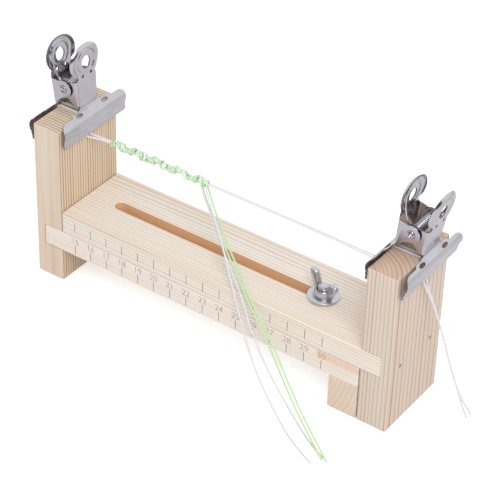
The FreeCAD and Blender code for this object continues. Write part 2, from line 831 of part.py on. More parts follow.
def least_turn_gap(spot, sweep, wire):
    """Measure on points the least gap between a coil's turns."""
    count = 900
    points = [spot(sweep * number / count) for number in range(count + 1)]
    apart = int(count * math.pi / sweep)
    least = 1e9
    for first in range(0, count, 3):
        for second in range(first + apart, count + 1, 2):
            least = min(least, (points[first] - points[second]).Length)
    return least - wire


def make_clip(name, placement, outer_side):
    """Make one clip's two halves, pin and spring; the half on the left has the outer ears."""
    turned = clip_half_shape(True).mirror(Vector(), Vector(1, 0, 0))
    plain = clip_half_shape(False)
    names = {"left": "outer_half", "right": "inner_half"}
    if outer_side == "right":
        names = {"left": "inner_half", "right": "outer_half"}
    place_clip_piece(name + "_" + names["left"], turned, placement)
    place_clip_piece(name + "_" + names["right"], plain, placement)
    place_clip_piece(name + "_pin", pin_shape(), placement)
    place_clip_piece(name + "_spring", spring_shape(), placement)


def make_clips():
    """Make the clip on each post."""
    right_middle = size("post_thickness") + size("inner_width")
    left = clip_placement(0, -size("left_clip_lean"), size("left_clip_rise"), size("left_clip_back"))
    right = clip_placement(
        right_middle, size("right_clip_lean"), size("right_clip_rise"), size("right_clip_back")
    )
    make_clip("left_clip", left, "left")
    make_clip("right_clip", right, "right")


# Cords


def cord_tube(name, points, tight=None):
    """Make a cord as straight runs joined by arcs; tight gives the radius of bends round an edge."""
    tight = tight or {}
    spots = [Vector(*point) for point in points]
    edges = []
    radii = []
    last = spots[0]
    for number in range(1, len(spots) - 1):
        way_in = spots[number - 1] - spots[number]
        way_out = spots[number + 1] - spots[number]
        shorter = min(way_in.Length, way_out.Length)
        way_in.normalize()
        way_out.normalize()
        half_turn = (math.pi - way_in.getAngle(way_out)) / 2
        radius = tight.get(number, 0.45 * shorter / math.tan(half_turn))
        radii.append(radius)
        reach = radius * math.tan(half_turn)
        start = spots[number] + way_in * reach
        end = spots[number] + way_out * reach
        towards = (way_in + way_out).normalize()
        middle = spots[number] + towards * (radius / math.cos(half_turn) - radius)
        edges.append(Part.LineSegment(last, start).toShape())
        edges.append(Part.Arc(start, middle, end).toShape())
        last = end
    edges.append(Part.LineSegment(last, spots[-1]).toShape())
    path = Part.Wire(edges)
    diameter = size("cord_diameter")
    section = Part.Wire(Part.Circle(spots[0], spots[1] - spots[0], diameter / 2).toShape())
    item = document.addObject("Part::Feature", name)
    item.Shape = path.makePipeShell([section], True, False)
    keep(item, name)
    share = item.Shape.Volume / (math.pi * diameter * diameter / 4 * path.Length)
    shown = " ".join("%.1f" % radius for radius in radii)
    print("%s: %.1f mm long, volume share %.4f, radii %s" % (name, path.Length, share, shown))


def make_core_strands():
    """Make the two strands that the bracelet is knotted on, from clip to clip.

    Each strand has three lengths: over the left post into the band, from the band to the right post,
    and over that post and down to the table.
    """
    cord_room = size("cord_gap") + size("cord_diameter") / 2
    over_post = size("post_height") + cord_room
    beside = size("post_thickness") / 2 + cord_room
    corner_bend = size("edge_round") + cord_room
    lip_bend = size("cord_lip_bend")
    right_middle = size("post_thickness") + size("inner_width")
    right_inside = right_middle - beside
    right_outside = right_middle + beside
    band_start = size("braid_start")
    band_end = band_start + size("braid_length")
    level = size("braid_level")
    cord_tube("core_a_left", [
        (-beside, -2.9, 76.9), (-beside, -2.9, over_post), (beside, -2.8, over_post),
        (beside, -2.2, 78.7), (17.7, 0.75, level), (band_start, 0.75, level),
    ], tight={1: corner_bend, 2: corner_bend, 3: lip_bend})
    cord_tube("core_b_left", [
        (-beside, 0.0, 76.9), (-beside, 0.0, over_post), (beside, 0.7, over_post),
        (beside, 0.9, 78.7), (17.7, 1.95, level), (band_start, 1.95, level),
    ], tight={1: corner_bend, 2: corner_bend, 3: lip_bend})
    cord_tube("core_a_span", [(band_end, 0.75, level), (157.9, 0.6, 78.5), (185.9, -1.1, 78.5)])
    cord_tube("core_b_span", [(band_end, 1.95, level), (157.9, 1.8, 78.5), (185.9, 0.9, 78.5)])
    cord_tube("core_a_tail", [
        (185.9, -1.1, 78.5), (right_inside, -1.194, 78.5), (right_inside, -1.9, over_post),
        (right_outside, -1.9, over_post), (right_outside, -0.35, 76.2), (209.7, 1.4, 67.2),
        (215.0, 3.5, 51.2), (220.5, 5.6, 31.0), (225.4, 7.5, 15.2), (228.0, 8.6, 6.2), (230.2, 9.5, 0.6),
    ], tight={1: lip_bend, 2: corner_bend, 3: corner_bend, 4: size("tail_bend")})
    cord_tube("core_b_tail", [
        (185.9, 0.9, 78.5), (right_inside, 0.85, 78.5), (right_inside, 0.3, over_post),
        (right_outside, 0.3, over_post), (right_outside, 2.15, 76.2), (208.6, 3.6, 65.4),
        (213.9, 5.7, 49.2), (219.2, 7.9, 28.9), (224.2, 10.0, 12.8), (227.6, 11.4, 6.0), (230.8, 12.7, 0.6),
    ], tight={1: lip_bend, 2: corner_bend, 3: corner_bend, 4: size("tail_bend")})


def make_working_strands():
    """Make the four strands that leave the last knot, cross the board's front edge and reach the table."""
    cord_tube("green_strand_a", [
        (77.9, 1.2, 77.0), (82.4, -1.0, 70.0), (89.4, -4.2, 63.0), (102.4, -11.5, 54.6),
        (112.9, -17.5, 49.4), (122.9, -23.4, 43.6), (131.9, -27.8, 38.0), (143.9, -33.5, 30.6),
        (158.4, -40.7, 18.6), (170.9, -46.8, 10.0), (182.4, -52.5, 4.4), (191.6, -57.0, 0.6),
    ])
    cord_tube("green_strand_b", [
        (81.2, 1.5, 77.0), (85.5, -0.1, 69.6), (91.4, -3.1, 63.6), (103.9, -10.8, 55.4),
        (114.5, -16.8, 50.2), (124.4, -23.1, 43.8), (133.4, -27.1, 38.5), (145.4, -32.7, 31.2),
        (160.0, -39.8, 19.2), (172.5, -46.0, 10.6), (184.2, -51.9, 5.0), (193.8, -56.7, 0.6),
    ])
    cord_tube("white_strand_a", [
        (81.0, 0.2, 76.8), (85.4, -2.8, 72.4), (91.2, -6.6, 67.2), (98.0, -11.1, 61.6),
        (104.4, -15.6, 55.8), (110.5, -20.0, 49.4), (115.6, -23.7, 43.6), (119.5, -25.6, 36.6),
        (123.9, -27.7, 29.6), (129.0, -30.4, 22.2), (138.4, -35.5, 12.4), (151.9, -42.7, 4.9),
        (166.0, -50.6, 0.7), (177.6, -57.2, 0.6), (188.2, -62.0, 0.6),
    ])
    cord_tube("white_strand_b", [
        (78.3, 0.0, 76.8), (83.6, -3.2, 70.4), (90.4, -6.0, 64.6), (101.9, -13.2, 55.4),
        (112.4, -19.4, 48.8), (120.1, -23.7, 43.6), (126.0, -26.5, 34.8), (133.3, -29.8, 25.4),
        (144.8, -35.0, 16.4), (159.9, -41.8, 8.8), (172.9, -47.6, 3.4), (182.4, -51.9, 0.8),
        (190.8, -55.6, 0.6),
    ])


def make_braid():
    """Make the knotted band as a plain rod round the core strands."""
    band = document.addObject("Part::Cylinder", "bracelet_braid")
    band.Placement = FreeCAD.Placement(Vector(), FreeCAD.Rotation(Vector(0, 1, 0), 90))
    bind(
        band, Radius="braid_diameter / 2", Height="braid_length",
        x="braid_start", y="braid_depth", z="braid_level",
    )
    keep(band, "bracelet_braid")


def check_and_write():
    """Stop on any failed object, then write each sub-part to its own file."""
    document.recompute()
    for item in document.Objects:
        for word in ("Invalid", "Error"):
            if word in item.State:
                raise RuntimeError("%s is in state %s" % (item.Label, word))
    os.makedirs("parts", exist_ok=True)
    for item in parts:
        if item.Shape.isNull() or not item.Shape.isValid():
            raise RuntimeError(item.Label + " has no valid shape")
        count = len(item.Shape.Solids)
        print("%s: %d solid, %.1f cubic mm" % (item.Label, count, item.Shape.Volume))
    for item in parts:
        item.Shape.exportStep("parts/%s.step" % item.Label)


make_left_post()
make_right_post()
make_lower_board()
make_upper_board()
make_foot_block()
make_side_nails("left_post_nails", LEFT_OUTSIDE, 90, "lower_board_underside")
make_side_nails("right_post_nails", RIGHT_OUTSIDE, -90, UPPER_UNDERSIDE)
make_foot_nails()
make_clamp_bolt()
make_washer()
make_wing_nut()
make_clips()
make_core_strands()
make_braid()
make_working_strands()
check_and_write()
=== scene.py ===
"""Cord bracelet jig: two pine posts on two sliding boards, a wing nut, two spring clips and cords.

Lengths are in metres, or in millimetres times MM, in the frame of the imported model: X runs along
the boards, Y runs away from the front, and Z is up.
"""

import math

import bmesh
import bpy
import numpy as np
from mathutils import Euler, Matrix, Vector


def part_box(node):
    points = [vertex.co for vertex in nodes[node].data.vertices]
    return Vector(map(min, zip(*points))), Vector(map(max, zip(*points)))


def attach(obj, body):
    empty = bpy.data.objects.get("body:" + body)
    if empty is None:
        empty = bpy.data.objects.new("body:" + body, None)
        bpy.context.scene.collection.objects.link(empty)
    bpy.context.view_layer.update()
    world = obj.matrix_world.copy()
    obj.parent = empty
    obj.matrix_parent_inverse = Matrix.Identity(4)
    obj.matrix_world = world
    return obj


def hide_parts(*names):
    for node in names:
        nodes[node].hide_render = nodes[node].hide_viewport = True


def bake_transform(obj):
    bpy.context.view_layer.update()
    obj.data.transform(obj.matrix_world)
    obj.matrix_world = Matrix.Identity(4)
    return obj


MM = 0.001
TURN = 2 * math.pi

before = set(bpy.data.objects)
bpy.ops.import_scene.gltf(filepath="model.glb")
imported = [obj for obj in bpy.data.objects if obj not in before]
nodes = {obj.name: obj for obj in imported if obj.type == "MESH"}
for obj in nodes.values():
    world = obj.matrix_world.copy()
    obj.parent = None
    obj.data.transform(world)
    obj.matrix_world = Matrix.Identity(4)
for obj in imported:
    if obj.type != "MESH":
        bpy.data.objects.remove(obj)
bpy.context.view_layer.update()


# Camera and lamp

CAMERA_PLACE = (0.55644374, -0.65986023, 0.64202326)
CAMERA_TURN = (53.44880283, -1.54288102, 35.31609709)
CAMERA_LENS = 146.704
CAMERA_SENSOR = 36.0


def link_object(name, data):
    """Make an object of a camera, a lamp or a mesh and put it into the scene."""
    item = bpy.data.objects.new(name, data)
    bpy.context.scene.collection.objects.link(item)
    return item


def make_camera():
    """Stand the camera where the photograph was taken from."""
    data = bpy.data.cameras.new("camera")
    data.lens = CAMERA_LENS
    data.sensor_width = CAMERA_SENSOR
    data.clip_start = 0.05
    data.clip_end = 20
    camera = link_object("camera", data)
    camera.location = CAMERA_PLACE
    camera.rotation_euler = Euler([math.radians(angle) for angle in CAMERA_TURN], "XYZ")
    bpy.context.scene.camera = camera


def make_lamp(name, place, target, size, power):
    """Hang a square soft lamp that looks at a point."""
    data = bpy.data.lights.new(name, "AREA")
    data.shape = "SQUARE"
    data.size = size
    data.energy = power
    lamp = link_object(name, data)
    lamp.location = place
    way = Vector(target) - Vector(place)
    lamp.rotation_euler = way.to_track_quat("-Z", "Y").to_euler()


make_camera()
bpy.context.scene.view_settings.view_transform = "Standard"


# Node helpers

def new_material(name):
    """Make an empty node material and return it with its tree."""
    material = bpy.data.materials.new(name)
    material.use_nodes = True
    tree = material.node_tree
    tree.nodes.clear()
    return material, tree


def add_node(tree, kind, **values):
    """Add a node, with its options as keywords."""
    node = tree.nodes.new(kind)
    for key, value in values.items():
        setattr(node, key, value)
    return node


def join(tree, source, target):
    """Link an output to an input."""
    tree.links.new(source, target)


def math_node(tree, operation, first, second=None, third=None):
    """Add a Math node whose inputs are outputs or plain numbers, and return its output."""
    node = add_node(tree, "ShaderNodeMath", operation=operation)
    for slot, value in enumerate((first, second, third)):
        if value is None:
            continue
        if isinstance(value, (int, float)):
            node.inputs[slot].default_value = value
        else:
            join(tree, value, node.inputs[slot])
    return node.outputs[0]


def ramp(tree, source, stops, interpolation="LINEAR"):
    """Turn a number into a colour by stops of (place, colour), and return the colour output."""
    node = add_node(tree, "ShaderNodeValToRGB")
    node.color_ramp.interpolation = interpolation
    elements = node.color_ramp.elements
    while len(elements) < len(stops):
        elements.new(0.5)
    for element, (place, colour) in zip(elements, stops):
        element.position = place
        element.color = (*colour, 1)
    join(tree, source, node.inputs["Fac"])
    return node.outputs["Color"]


def blend_colours(tree, share, first, second, kind="MIX"):
    """Mix two colours by a share and return the result."""
    node = add_node(tree, "ShaderNodeMix", data_type="RGBA", blend_type=kind)
    for name, value in (("Factor", share), ("A", first), ("B", second)):
        wanted = "RGBA" if name != "Factor" else "VALUE"
        socket = next(s for s in node.inputs if s.name == name and s.type == wanted)
        if isinstance(value, (int, float)):
            socket.default_value = value
        elif isinstance(value, tuple):
            socket.default_value = (*value, 1)
        else:
            join(tree, value, socket)
    return next(s for s in node.outputs if s.type == "RGBA")


def stretch_vector(tree, vector, factors):
    """Multiply a vector by three factors and return the result."""
    node = add_node(tree, "ShaderNodeVectorMath", operation="MULTIPLY")
    join(tree, vector, node.inputs[0])
    node.inputs[1].default_value = factors
    return node.outputs[0]


def sample_noise(tree, vector, scale, detail, roughness, stretch=(1.0, 1.0, 1.0)):
    """Read a noise texture at a vector, stretched by three factors, and return its value."""
    noise = add_node(tree, "ShaderNodeTexNoise")
    noise.inputs["Scale"].default_value = scale
    noise.inputs["Detail"].default_value = detail
    noise.inputs["Roughness"].default_value = roughness
    join(tree, stretch_vector(tree, vector, stretch), noise.inputs["Vector"])
    return noise.outputs["Fac"]


def add_surface(tree, tone, roughness):
    """Show the main shader on the surface, in a tone, its roughness an output or a plain number."""
    shader = add_node(tree, "ShaderNodeBsdfPrincipled")
    join(tree, tone, shader.inputs["Base Color"])
    if isinstance(roughness, float):
        shader.inputs["Roughness"].default_value = roughness
    else:
        join(tree, roughness, shader.inputs["Roughness"])
    output = add_node(tree, "ShaderNodeOutputMaterial")
    join(tree, shader.outputs[0], output.inputs["Surface"])
    return shader


def add_bump(tree, shader, height, strength, distance):
    """Let a height, up to a distance in metres, bend the shader's normal."""
    bump = add_node(tree, "ShaderNodeBump")
    bump.inputs["Strength"].default_value = strength
    bump.inputs["Distance"].default_value = distance
    join(tree, height, bump.inputs["Height"])
    join(tree, bump.outputs[0], shader.inputs["Normal"])


def colour(red, green, blue):
    """Turn a colour of 0 to 255 as the eye reads it into the linear one that a shader takes."""
    def linear(value):
        value = value / 255
        return value / 12.92 if value <= 0.04045 else ((value + 0.055) / 1.055) ** 2.4
    return tuple(linear(value) for value in (red, green, blue))


def paint(name, material):
    """Give a CAD node one material."""
    slots = nodes[name].data.materials
    slots.clear()
    slots.append(material)


# Wood

def mask_box(tree, place, low, high, soft):
    """Share that is 1 inside a box and falls to 0 over a soft edge.

    The box and the edge are in millimetres, and None leaves a side open.
    """
    parts = add_node(tree, "ShaderNodeSeparateXYZ")
    join(tree, place, parts.inputs[0])
    total = 1.0
    for axis in range(3):
        for limit, way in ((low[axis], 1), (high[axis], -1)):
            if limit is None:
                continue
            slope = way / (soft * MM)
            share = math_node(tree, "MULTIPLY_ADD", parts.outputs[axis], slope, -limit * MM * slope)
            share.node.use_clamp = True
            total = math_node(tree, "MULTIPLY", share, total)
    return total


def draw_out(grain, share):
    """Three factors that draw a pattern out along the grain, or flatten it there when the share is 0."""
    return [share if axis == grain else 1.0 for axis in "XYZ"]


RING_PLACE = 20
BEND_SCALE, BEND_AMOUNT = 22, 4.0
WIDTH_SCALE, WIDTH_AMOUNT = 90, 1.1
SLOW_GRAIN = 0.12


def count_rings(tree, place, grain, pith, ring, wobble, power):
    """Number the rings by the distance d from the pith line, bent by slow noise.

    The number is (d / 20) to the power, times 20 / (ring * power), so a ring is as wide as its value
    20 mm from the pith, and wider further out when the power is below 1.
    """
    mapping = add_node(tree, "ShaderNodeMapping")
    mapping.inputs["Location"].default_value = tuple(-value * MM for value in pith)
    join(tree, place, mapping.inputs["Vector"])
    distance = add_node(tree, "ShaderNodeVectorMath", operation="LENGTH")
    join(tree, stretch_vector(tree, mapping.outputs[0], draw_out(grain, 0.0)), distance.inputs[0])
    bend = sample_noise(tree, place, BEND_SCALE, 2, 0.5, draw_out(grain, SLOW_GRAIN))
    width = sample_noise(tree, place, WIDTH_SCALE, 2, 0.5, draw_out(grain, SLOW_GRAIN))
    bent = math_node(tree, "MULTIPLY_ADD", bend, wobble * BEND_AMOUNT * MM, distance.outputs["Value"])
    bent = math_node(tree, "MULTIPLY_ADD", width, wobble * WIDTH_AMOUNT * MM, bent)
    raised = math_node(tree, "POWER", math_node(tree, "DIVIDE", bent, RING_PLACE * MM), power)
    return math_node(tree, "MULTIPLY", raised, RING_PLACE / (ring * power))


FIBRE_SCALE, FIBRE_GRAIN = 1400, 0.03
FIBRE_SHADE = [(0.3, (0.88, 0.865, 0.85)), (0.7, (1.0, 1.0, 1.0))]
TINT_SCALE, TINT_GRAIN = 110, 0.06
TINT_SHADE = [(0.35, (1.0, 0.95, 0.91)), (0.65, (1.0, 1.0, 1.0))]
WOOD_ROUGHNESS = 0.62


def colour_rings(tree, count, tones, contrast):
    """Colour numbered rings: each goes slowly from pale to warm and late wood, at its own strength."""
    pale, warm, late = tones
    lottery = add_node(tree, "ShaderNodeTexWhiteNoise", noise_dimensions="1D")
    join(tree, math_node(tree, "FLOOR", count), lottery.inputs["W"])
    rings = ramp(tree, math_node(tree, "FRACT", count), [
        (0.0, pale), (0.4, pale), (0.72, warm), (0.88, late), (0.96, late), (1.0, pale),
    ])
    strength = math_node(tree, "MULTIPLY_ADD", lottery.outputs["Value"], 0.6, 0.4)
    strength = math_node(tree, "MULTIPLY", strength, contrast)
    return blend_colours(tree, strength, pale, rings)


def make_pine(name, grain, pith, ring, tones, contrast, wobble, power, patches):
    """Pine whose growth rings lie about a line along one axis, in tones pale, warm and late.

    Fine fibres and broad tints lie along the grain over the rings. A patch is (low, high, soft, tone,
    share): inside its box the wood is multiplied by the tone.
    """
    material, tree = new_material(name)
    place = add_node(tree, "ShaderNodeTexCoord").outputs["Object"]
    count = count_rings(tree, place, grain, pith, ring, wobble, power)
    base = colour_rings(tree, count, tones, contrast)
    fibre = sample_noise(tree, place, FIBRE_SCALE, 3, 0.6, draw_out(grain, FIBRE_GRAIN))
    base = blend_colours(tree, 0.5, base, ramp(tree, fibre, FIBRE_SHADE), "MULTIPLY")
    tint = sample_noise(tree, place, TINT_SCALE, 2, 0.5, draw_out(grain, TINT_GRAIN))
    base = blend_colours(tree, 0.9, base, ramp(tree, tint, TINT_SHADE), "MULTIPLY")
    for low, high, soft, tone, amount in patches:
        mask = math_node(tree, "MULTIPLY", mask_box(tree, place, low, high, soft), amount)
        base = blend_colours(tree, mask, base, tone, "MULTIPLY")
    shader = add_surface(tree, base, WOOD_ROUGHNESS)
    shader.inputs["Specular IOR Level"].default_value = 0.3
    add_bump(tree, shader, fibre, 0.25, 0.05 * MM)
    return material


BOARD_TONES = (colour(245, 238, 229), colour(236, 222, 206), colour(214, 192, 170))
EDGE_TONES = (colour(249, 242, 235), colour(238, 224, 210), colour(212, 190, 170))
LEFT_TONES = (colour(243, 227, 206), colour(230, 200, 168), colour(150, 106, 74))
RIGHT_TONES = (colour(237, 223, 209), colour(224, 203, 184), colour(172, 138, 114))
FOOT_TONES = (colour(234, 216, 199), colour(220, 192, 168), colour(196, 162, 136))
MARK_TONE = colour(176, 142, 116)
MARK_FRONT, MARK_BACK = -22.72, -22.3

# Patches of other tones on the wood, some of them painted light or shade as marked: lowest corner, highest
# corner, soft edge, tone and share.
UPPER_BOARD_PATCHES = [
    # Inside the slot: the first patch gives the cut walls a warmer tone, and the next two are painted shade
    # that deepens towards the slot's floor.
    ((22, -3.4, None), (160, 3.4, 42.72), 0.04, colour(255, 224, 188), 1.0),
    ((22, -3.4, None), (160, 3.4, 40.5), 3.5, colour(234, 200, 166), 1.0),
    ((22, -3.4, None), (160, 3.4, 37.3), 0.6, colour(226, 200, 180), 1.0),
    ((None, 18.6, 42.7), (None, None, None), 0.8, colour(250, 230, 216), 0.9),
    ((10, MARK_FRONT, 33.3), (186, MARK_BACK, 39.7), 0.02, MARK_TONE, 0.9),
]
LOWER_BOARD_PATCHES = [
    ((163, None, 26.0), (None, None, None), 2.0, colour(246, 212, 184), 0.55),
    ((10, MARK_FRONT, 19.9), (186, MARK_BACK, 26.3), 0.02, MARK_TONE, 0.9),
]
LEFT_POST_PATCHES = [
    # Painted light: the whole front face is tinted cooler than the other faces.
    ((None, None, None), (None, -22, None), 0.5, colour(246, 249, 255), 1.0),
    ((None, None, None), (None, -22, 60), 20.0, colour(250, 236, 224), 1.0),
    ((0, None, None), (3.5, -22, None), 1.4, colour(252, 228, 212), 0.9),
    ((-4, None, None), (-2.5, -22, 40), 1.0, colour(250, 220, 200), 0.8),
    # Painted shade: the inner side face is made a little darker.
    ((7.9, None, None), (None, None, 90.2), 0.1, colour(243, 239, 234), 1.0),
    ((None, None, 90.0), (None, None, None), 0.2, colour(242, 242, 244), 1.0),
]
RIGHT_POST_PATCHES = [
    # Painted shade: the front face is tinted cooler and a little darker.
    ((None, None, None), (None, -22.5, 90.2), 0.1, colour(244, 246, 248), 1.0),
    # Painted shade: the outer side face is made a little darker.
    ((204.1, None, None), (None, None, 90.2), 0.1, colour(247, 244, 244), 1.0),
    ((None, None, 90.0), (None, None, None), 0.2, colour(236, 222, 213), 1.0),
]

# Each piece's grain, pith, ring width, tones, contrast, wobble, power and patches.
WOOD_CUTS = {
    "upper_board": ("X", (0, 60, -40), 1.25, BOARD_TONES, 0.9, 1.0, 1.0, UPPER_BOARD_PATCHES),
    "lower_board": ("X", (0, -5, 95), 1.5, EDGE_TONES, 0.9, 1.0, 1.0, LOWER_BOARD_PATCHES),
    "left_post": ("Z", (3, -160.5, 0), 1.9, LEFT_TONES, 1.0, 0.6, 1.0, LEFT_POST_PATCHES),
    "right_post": ("Z", (180, -32, 0), 1.7, RIGHT_TONES, 0.8, 0.7, 0.3, RIGHT_POST_PATCHES),
    "foot_block": ("Y", (106, 0, 37), 2.6, FOOT_TONES, 0.4, 1.0, 1.0, ()),
}

for block, cut in WOOD_CUTS.items():
    paint(block, make_pine("pine_" + block, *cut))


# Metal

METAL_CLOUD_SCALE = 160


def make_metal(name, tone, roughness, speckle=0.1):
    """Plated steel whose tone and gloss vary a little in slow clouds."""
    material, tree = new_material(name)
    place = add_node(tree, "ShaderNodeTexCoord").outputs["Object"]
    cloud = sample_noise(tree, place, METAL_CLOUD_SCALE, 3, 0.6)
    rough = math_node(tree, "MULTIPLY_ADD", cloud, speckle, roughness - speckle / 2)
    tint = ramp(tree, cloud, [(0.3, tuple(value * 0.9 for value in tone)), (0.7, tone)])
    shader = add_surface(tree, tint, rough)
    shader.inputs["Metallic"].default_value = 1.0
    return material


NICKEL = make_metal("nickel_plate", colour(204, 202, 209), 0.2)
# Darker steel for the sheets' cut rims and hole walls: partly the cut edge's duller tone, partly painted shade
# in the gaps and holes.
CUT_EDGE_AND_SHADE = make_metal("cut_edge_and_shade", colour(128, 125, 130), 0.42)
# Dark tone for the pin's shank between its ends: painted shade in the gaps between the coil's turns.
PIN_SHADE = make_metal("pin_painted_shade", colour(58, 55, 56), 0.5)
ZINC = make_metal("zinc_plate", colour(205, 206, 212), 0.3)
BRAD = make_metal("brad_steel", colour(150, 145, 140), 0.4)
SPRING = make_metal("spring_wire", colour(215, 215, 220), 0.14, 0.04)

for nails in ("left_post_nails", "right_post_nails", "foot_block_nails"):
    paint(nails, BRAD)


# Cords

CORD_DIAMETER = 0.95 * MM
CORD_SIDES = 14
CORD_STEP = 0.3 * MM
PLIES = 3
PLY_DEPTH = 0.07
PLY_PITCH = 2.4 * MM
YARN_SCALE = 2600
YARN_ROUGHNESS = 0.6
YARN_SHEEN = 0.2


def read_curve(curve):
    """Return the corners and faces of the mesh that a curve or a text gives, and drop it."""
    holder = bpy.data.objects.new("curve", curve)
    mesh = bpy.data.meshes.new_from_object(holder)
    places = np.zeros(len(mesh.vertices) * 3)
    mesh.vertices.foreach_get("co", places)
    faces = [list(polygon.vertices) for polygon in mesh.polygons]
    bpy.data.objects.remove(holder)
    bpy.data.curves.remove(curve)
    bpy.data.meshes.remove(mesh)
    return places.reshape(-1, 3), faces


def spline_points(route):
    """Read the smooth line that a route's points control, as an array in metres."""
    curve = bpy.data.curves.new("route", "CURVE")
    curve.dimensions = "3D"
    curve.resolution_u = 24
    spline = curve.splines.new("NURBS")
    spline.points.add(len(route) - 1)
    for point, place in zip(spline.points, route):
        point.co = (*[value * MM for value in place], 1)
    spline.order_u = 3
    spline.use_endpoint_u = True
    return read_curve(curve)[0]


def lengths_along(points):
    """Return how far along a line each of its points lies."""
    steps = np.linalg.norm(np.diff(points, axis=0), axis=1)
    return np.concatenate([[0], np.cumsum(steps)])


def space_evenly(points, count):
    """Space a count of points evenly along an open line, both ends included."""
    along = lengths_along(points)
    places = np.linspace(0, along[-1], count)
    return np.stack([np.interp(places, along, column) for column in points.T], axis=1)


def even_points(points, step):
    """Space points evenly along a line, about a step apart."""
    steps = max(int(round(lengths_along(points)[-1] / step)), 2)
    return space_evenly(points, steps + 1)


def carried_frames(points):
    """Give each point of a line two directions across it that turn as little as can be.

    Each pair is the one before it, mirrored twice: in the plane halfway to the next point, and in
    the plane that brings the direction back.
    """
    ways = np.gradient(points, axis=0)
    ways /= np.linalg.norm(ways, axis=1, keepdims=True)
    side = np.cross(ways[0], (0.3, 0.2, 1.0))
    side /= np.linalg.norm(side)
    sides = [side]
    for index in range(len(points) - 1):
        step = points[index + 1] - points[index]
        mirrored = sides[-1] - 2 * step * (step @ sides[-1]) / (step @ step)
        way = ways[index] - 2 * step * (step @ ways[index]) / (step @ step)
        back = ways[index + 1] - way
        size = back @ back
        if size > 1e-18:
            mirrored = mirrored - 2 * back * (back @ mirrored) / size
        sides.append(mirrored)
    sides = np.array(sides)
    return sides, np.cross(ways, sides)


def tube_mesh(name, points, radius, sides, twist_pitch=None, depth=0.0):
    """Carry a round profile along a line and close its ends.

    The radius is radius * (1 + depth * cos(plies * (angle - twist))), where the twist grows by a
    full turn each twist_pitch along the line, so the plies wind round it.
    """
    first, second = carried_frames(points)
    along = lengths_along(points)
    angle = np.linspace(0, TURN, sides, endpoint=False)
    twist = np.zeros_like(along) if twist_pitch is None else TURN * along / twist_pitch
    reach = np.asarray(radius) * np.ones(len(points))
    reach = reach[:, None] * (1 + depth * np.cos(PLIES * (angle[None, :] - twist[:, None])))
    ring = first[:, None, :] * np.cos(angle)[None, :, None]
    ring = ring + second[:, None, :] * np.sin(angle)[None, :, None]
    places = points[:, None, :] + ring * reach[:, :, None]
    turned = (angle[None, :] - twist[:, None]) / TURN
    return grid_mesh(name, places, closed_round=True, ends=True, uv=(turned, along[:, None] + 0 * turned))


def new_mesh(name, vertices, faces):
    """Make a mesh from its corners and faces."""
    mesh = bpy.data.meshes.new(name)
    mesh.from_pydata(np.asarray(vertices).tolist(), [], faces)
    return mesh


def grid_faces(rows, columns, closed_round):
    """Corners of a grid's faces, as an array of rows by columns by four."""
    index = np.arange(rows * columns).reshape(rows, columns)
    if closed_round:
        index = np.concatenate([index, index[:, :1]], axis=1)
    return np.stack([index[:-1, :-1], index[:-1, 1:], index[1:, 1:], index[1:, :-1]], axis=-1)


def end_fans(rows, columns):
    """Faces that join the first and the last row of a round grid to the two points after it."""
    low, high = rows * columns, rows * columns + 1
    first = np.arange(columns)
    after = np.roll(first, -1)
    last = first + (rows - 1) * columns
    fans = [
        np.stack([np.full(columns, low), after, first], axis=1),
        np.stack([np.full(columns, high), last, np.roll(last, -1)], axis=1),
    ]
    return np.concatenate(fans).tolist()


def grid_mesh(name, places, closed_round=False, ends=False, uv=None):
    """Make a mesh from a grid of points, rows by columns.

    closed_round joins the last column to the first, and ends closes the first and last row with
    a fan about their middles. uv is kept as the attribute that cord materials read.
    """
    rows, columns = places.shape[:2]
    vertices = places.reshape(-1, 3)
    faces = grid_faces(rows, columns, closed_round).reshape(-1, 4).tolist()
    if ends:
        middles = np.stack([places[0].mean(axis=0), places[-1].mean(axis=0)])
        vertices = np.concatenate([vertices, middles])
        faces += end_fans(rows, columns)
    mesh = new_mesh(name, vertices, faces)
    if uv is not None:
        layer = mesh.attributes.new("along", "FLOAT_VECTOR", "POINT")
        flat = np.zeros((len(vertices), 3))
        flat[:rows * columns, 0] = np.asarray(uv[0]).reshape(-1)
        flat[:rows * columns, 1] = np.asarray(uv[1]).reshape(-1)
        layer.data.foreach_set("vector", flat.reshape(-1))
    mesh.shade_smooth()
    mesh.update()
    return mesh


def add_piece(name, mesh, material):
    """Put a finished mesh into the scene as a piece, with a material unless it has its own."""
    piece = link_object(name, mesh)
    if material:
        mesh.materials.append(material)
    return piece


def stand_in(name, mesh, material, body, node):
    """Add a piece that rides a body and takes a CAD node's place."""
    piece = add_piece(name, mesh, material)
    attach(piece, body)
    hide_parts(node)
    return piece


def make_cord_material(name, pale, dark):
    """Twisted polyester yarn: thin pale plies with painted shade in the grooves between them, and fine fibres.
    """
    material, tree = new_material(name)
    spread = add_node(tree, "ShaderNodeAttribute", attribute_name="along")
    parts = add_node(tree, "ShaderNodeSeparateXYZ")
    join(tree, spread.outputs["Vector"], parts.inputs[0])
    wave = math_node(tree, "COSINE", math_node(tree, "MULTIPLY", parts.outputs["X"], PLIES * TURN))
    place = add_node(tree, "ShaderNodeTexCoord").outputs["Object"]
    fibre = sample_noise(tree, place, YARN_SCALE, 3, 0.6)
    height = math_node(tree, "MULTIPLY_ADD", fibre, 0.8, wave)
    # Low heights, mostly the grooves between plies, take the dark tone: painted shade, with fibre noise over
    # it.
    tone = ramp(tree, math_node(tree, "MULTIPLY_ADD", height, 0.35, 0.45), [(0.0, dark), (0.6, pale)])
    shader = add_surface(tree, tone, YARN_ROUGHNESS)
    shader.inputs["Sheen Weight"].default_value = YARN_SHEEN
    add_bump(tree, shader, height, 0.4, 0.08 * MM)
    return material


# Each cord's second, darker tone is painted shade in the grooves between its plies.
WHITE_CORD = make_cord_material("white_cord", colour(247, 246, 250), colour(214, 213, 221))
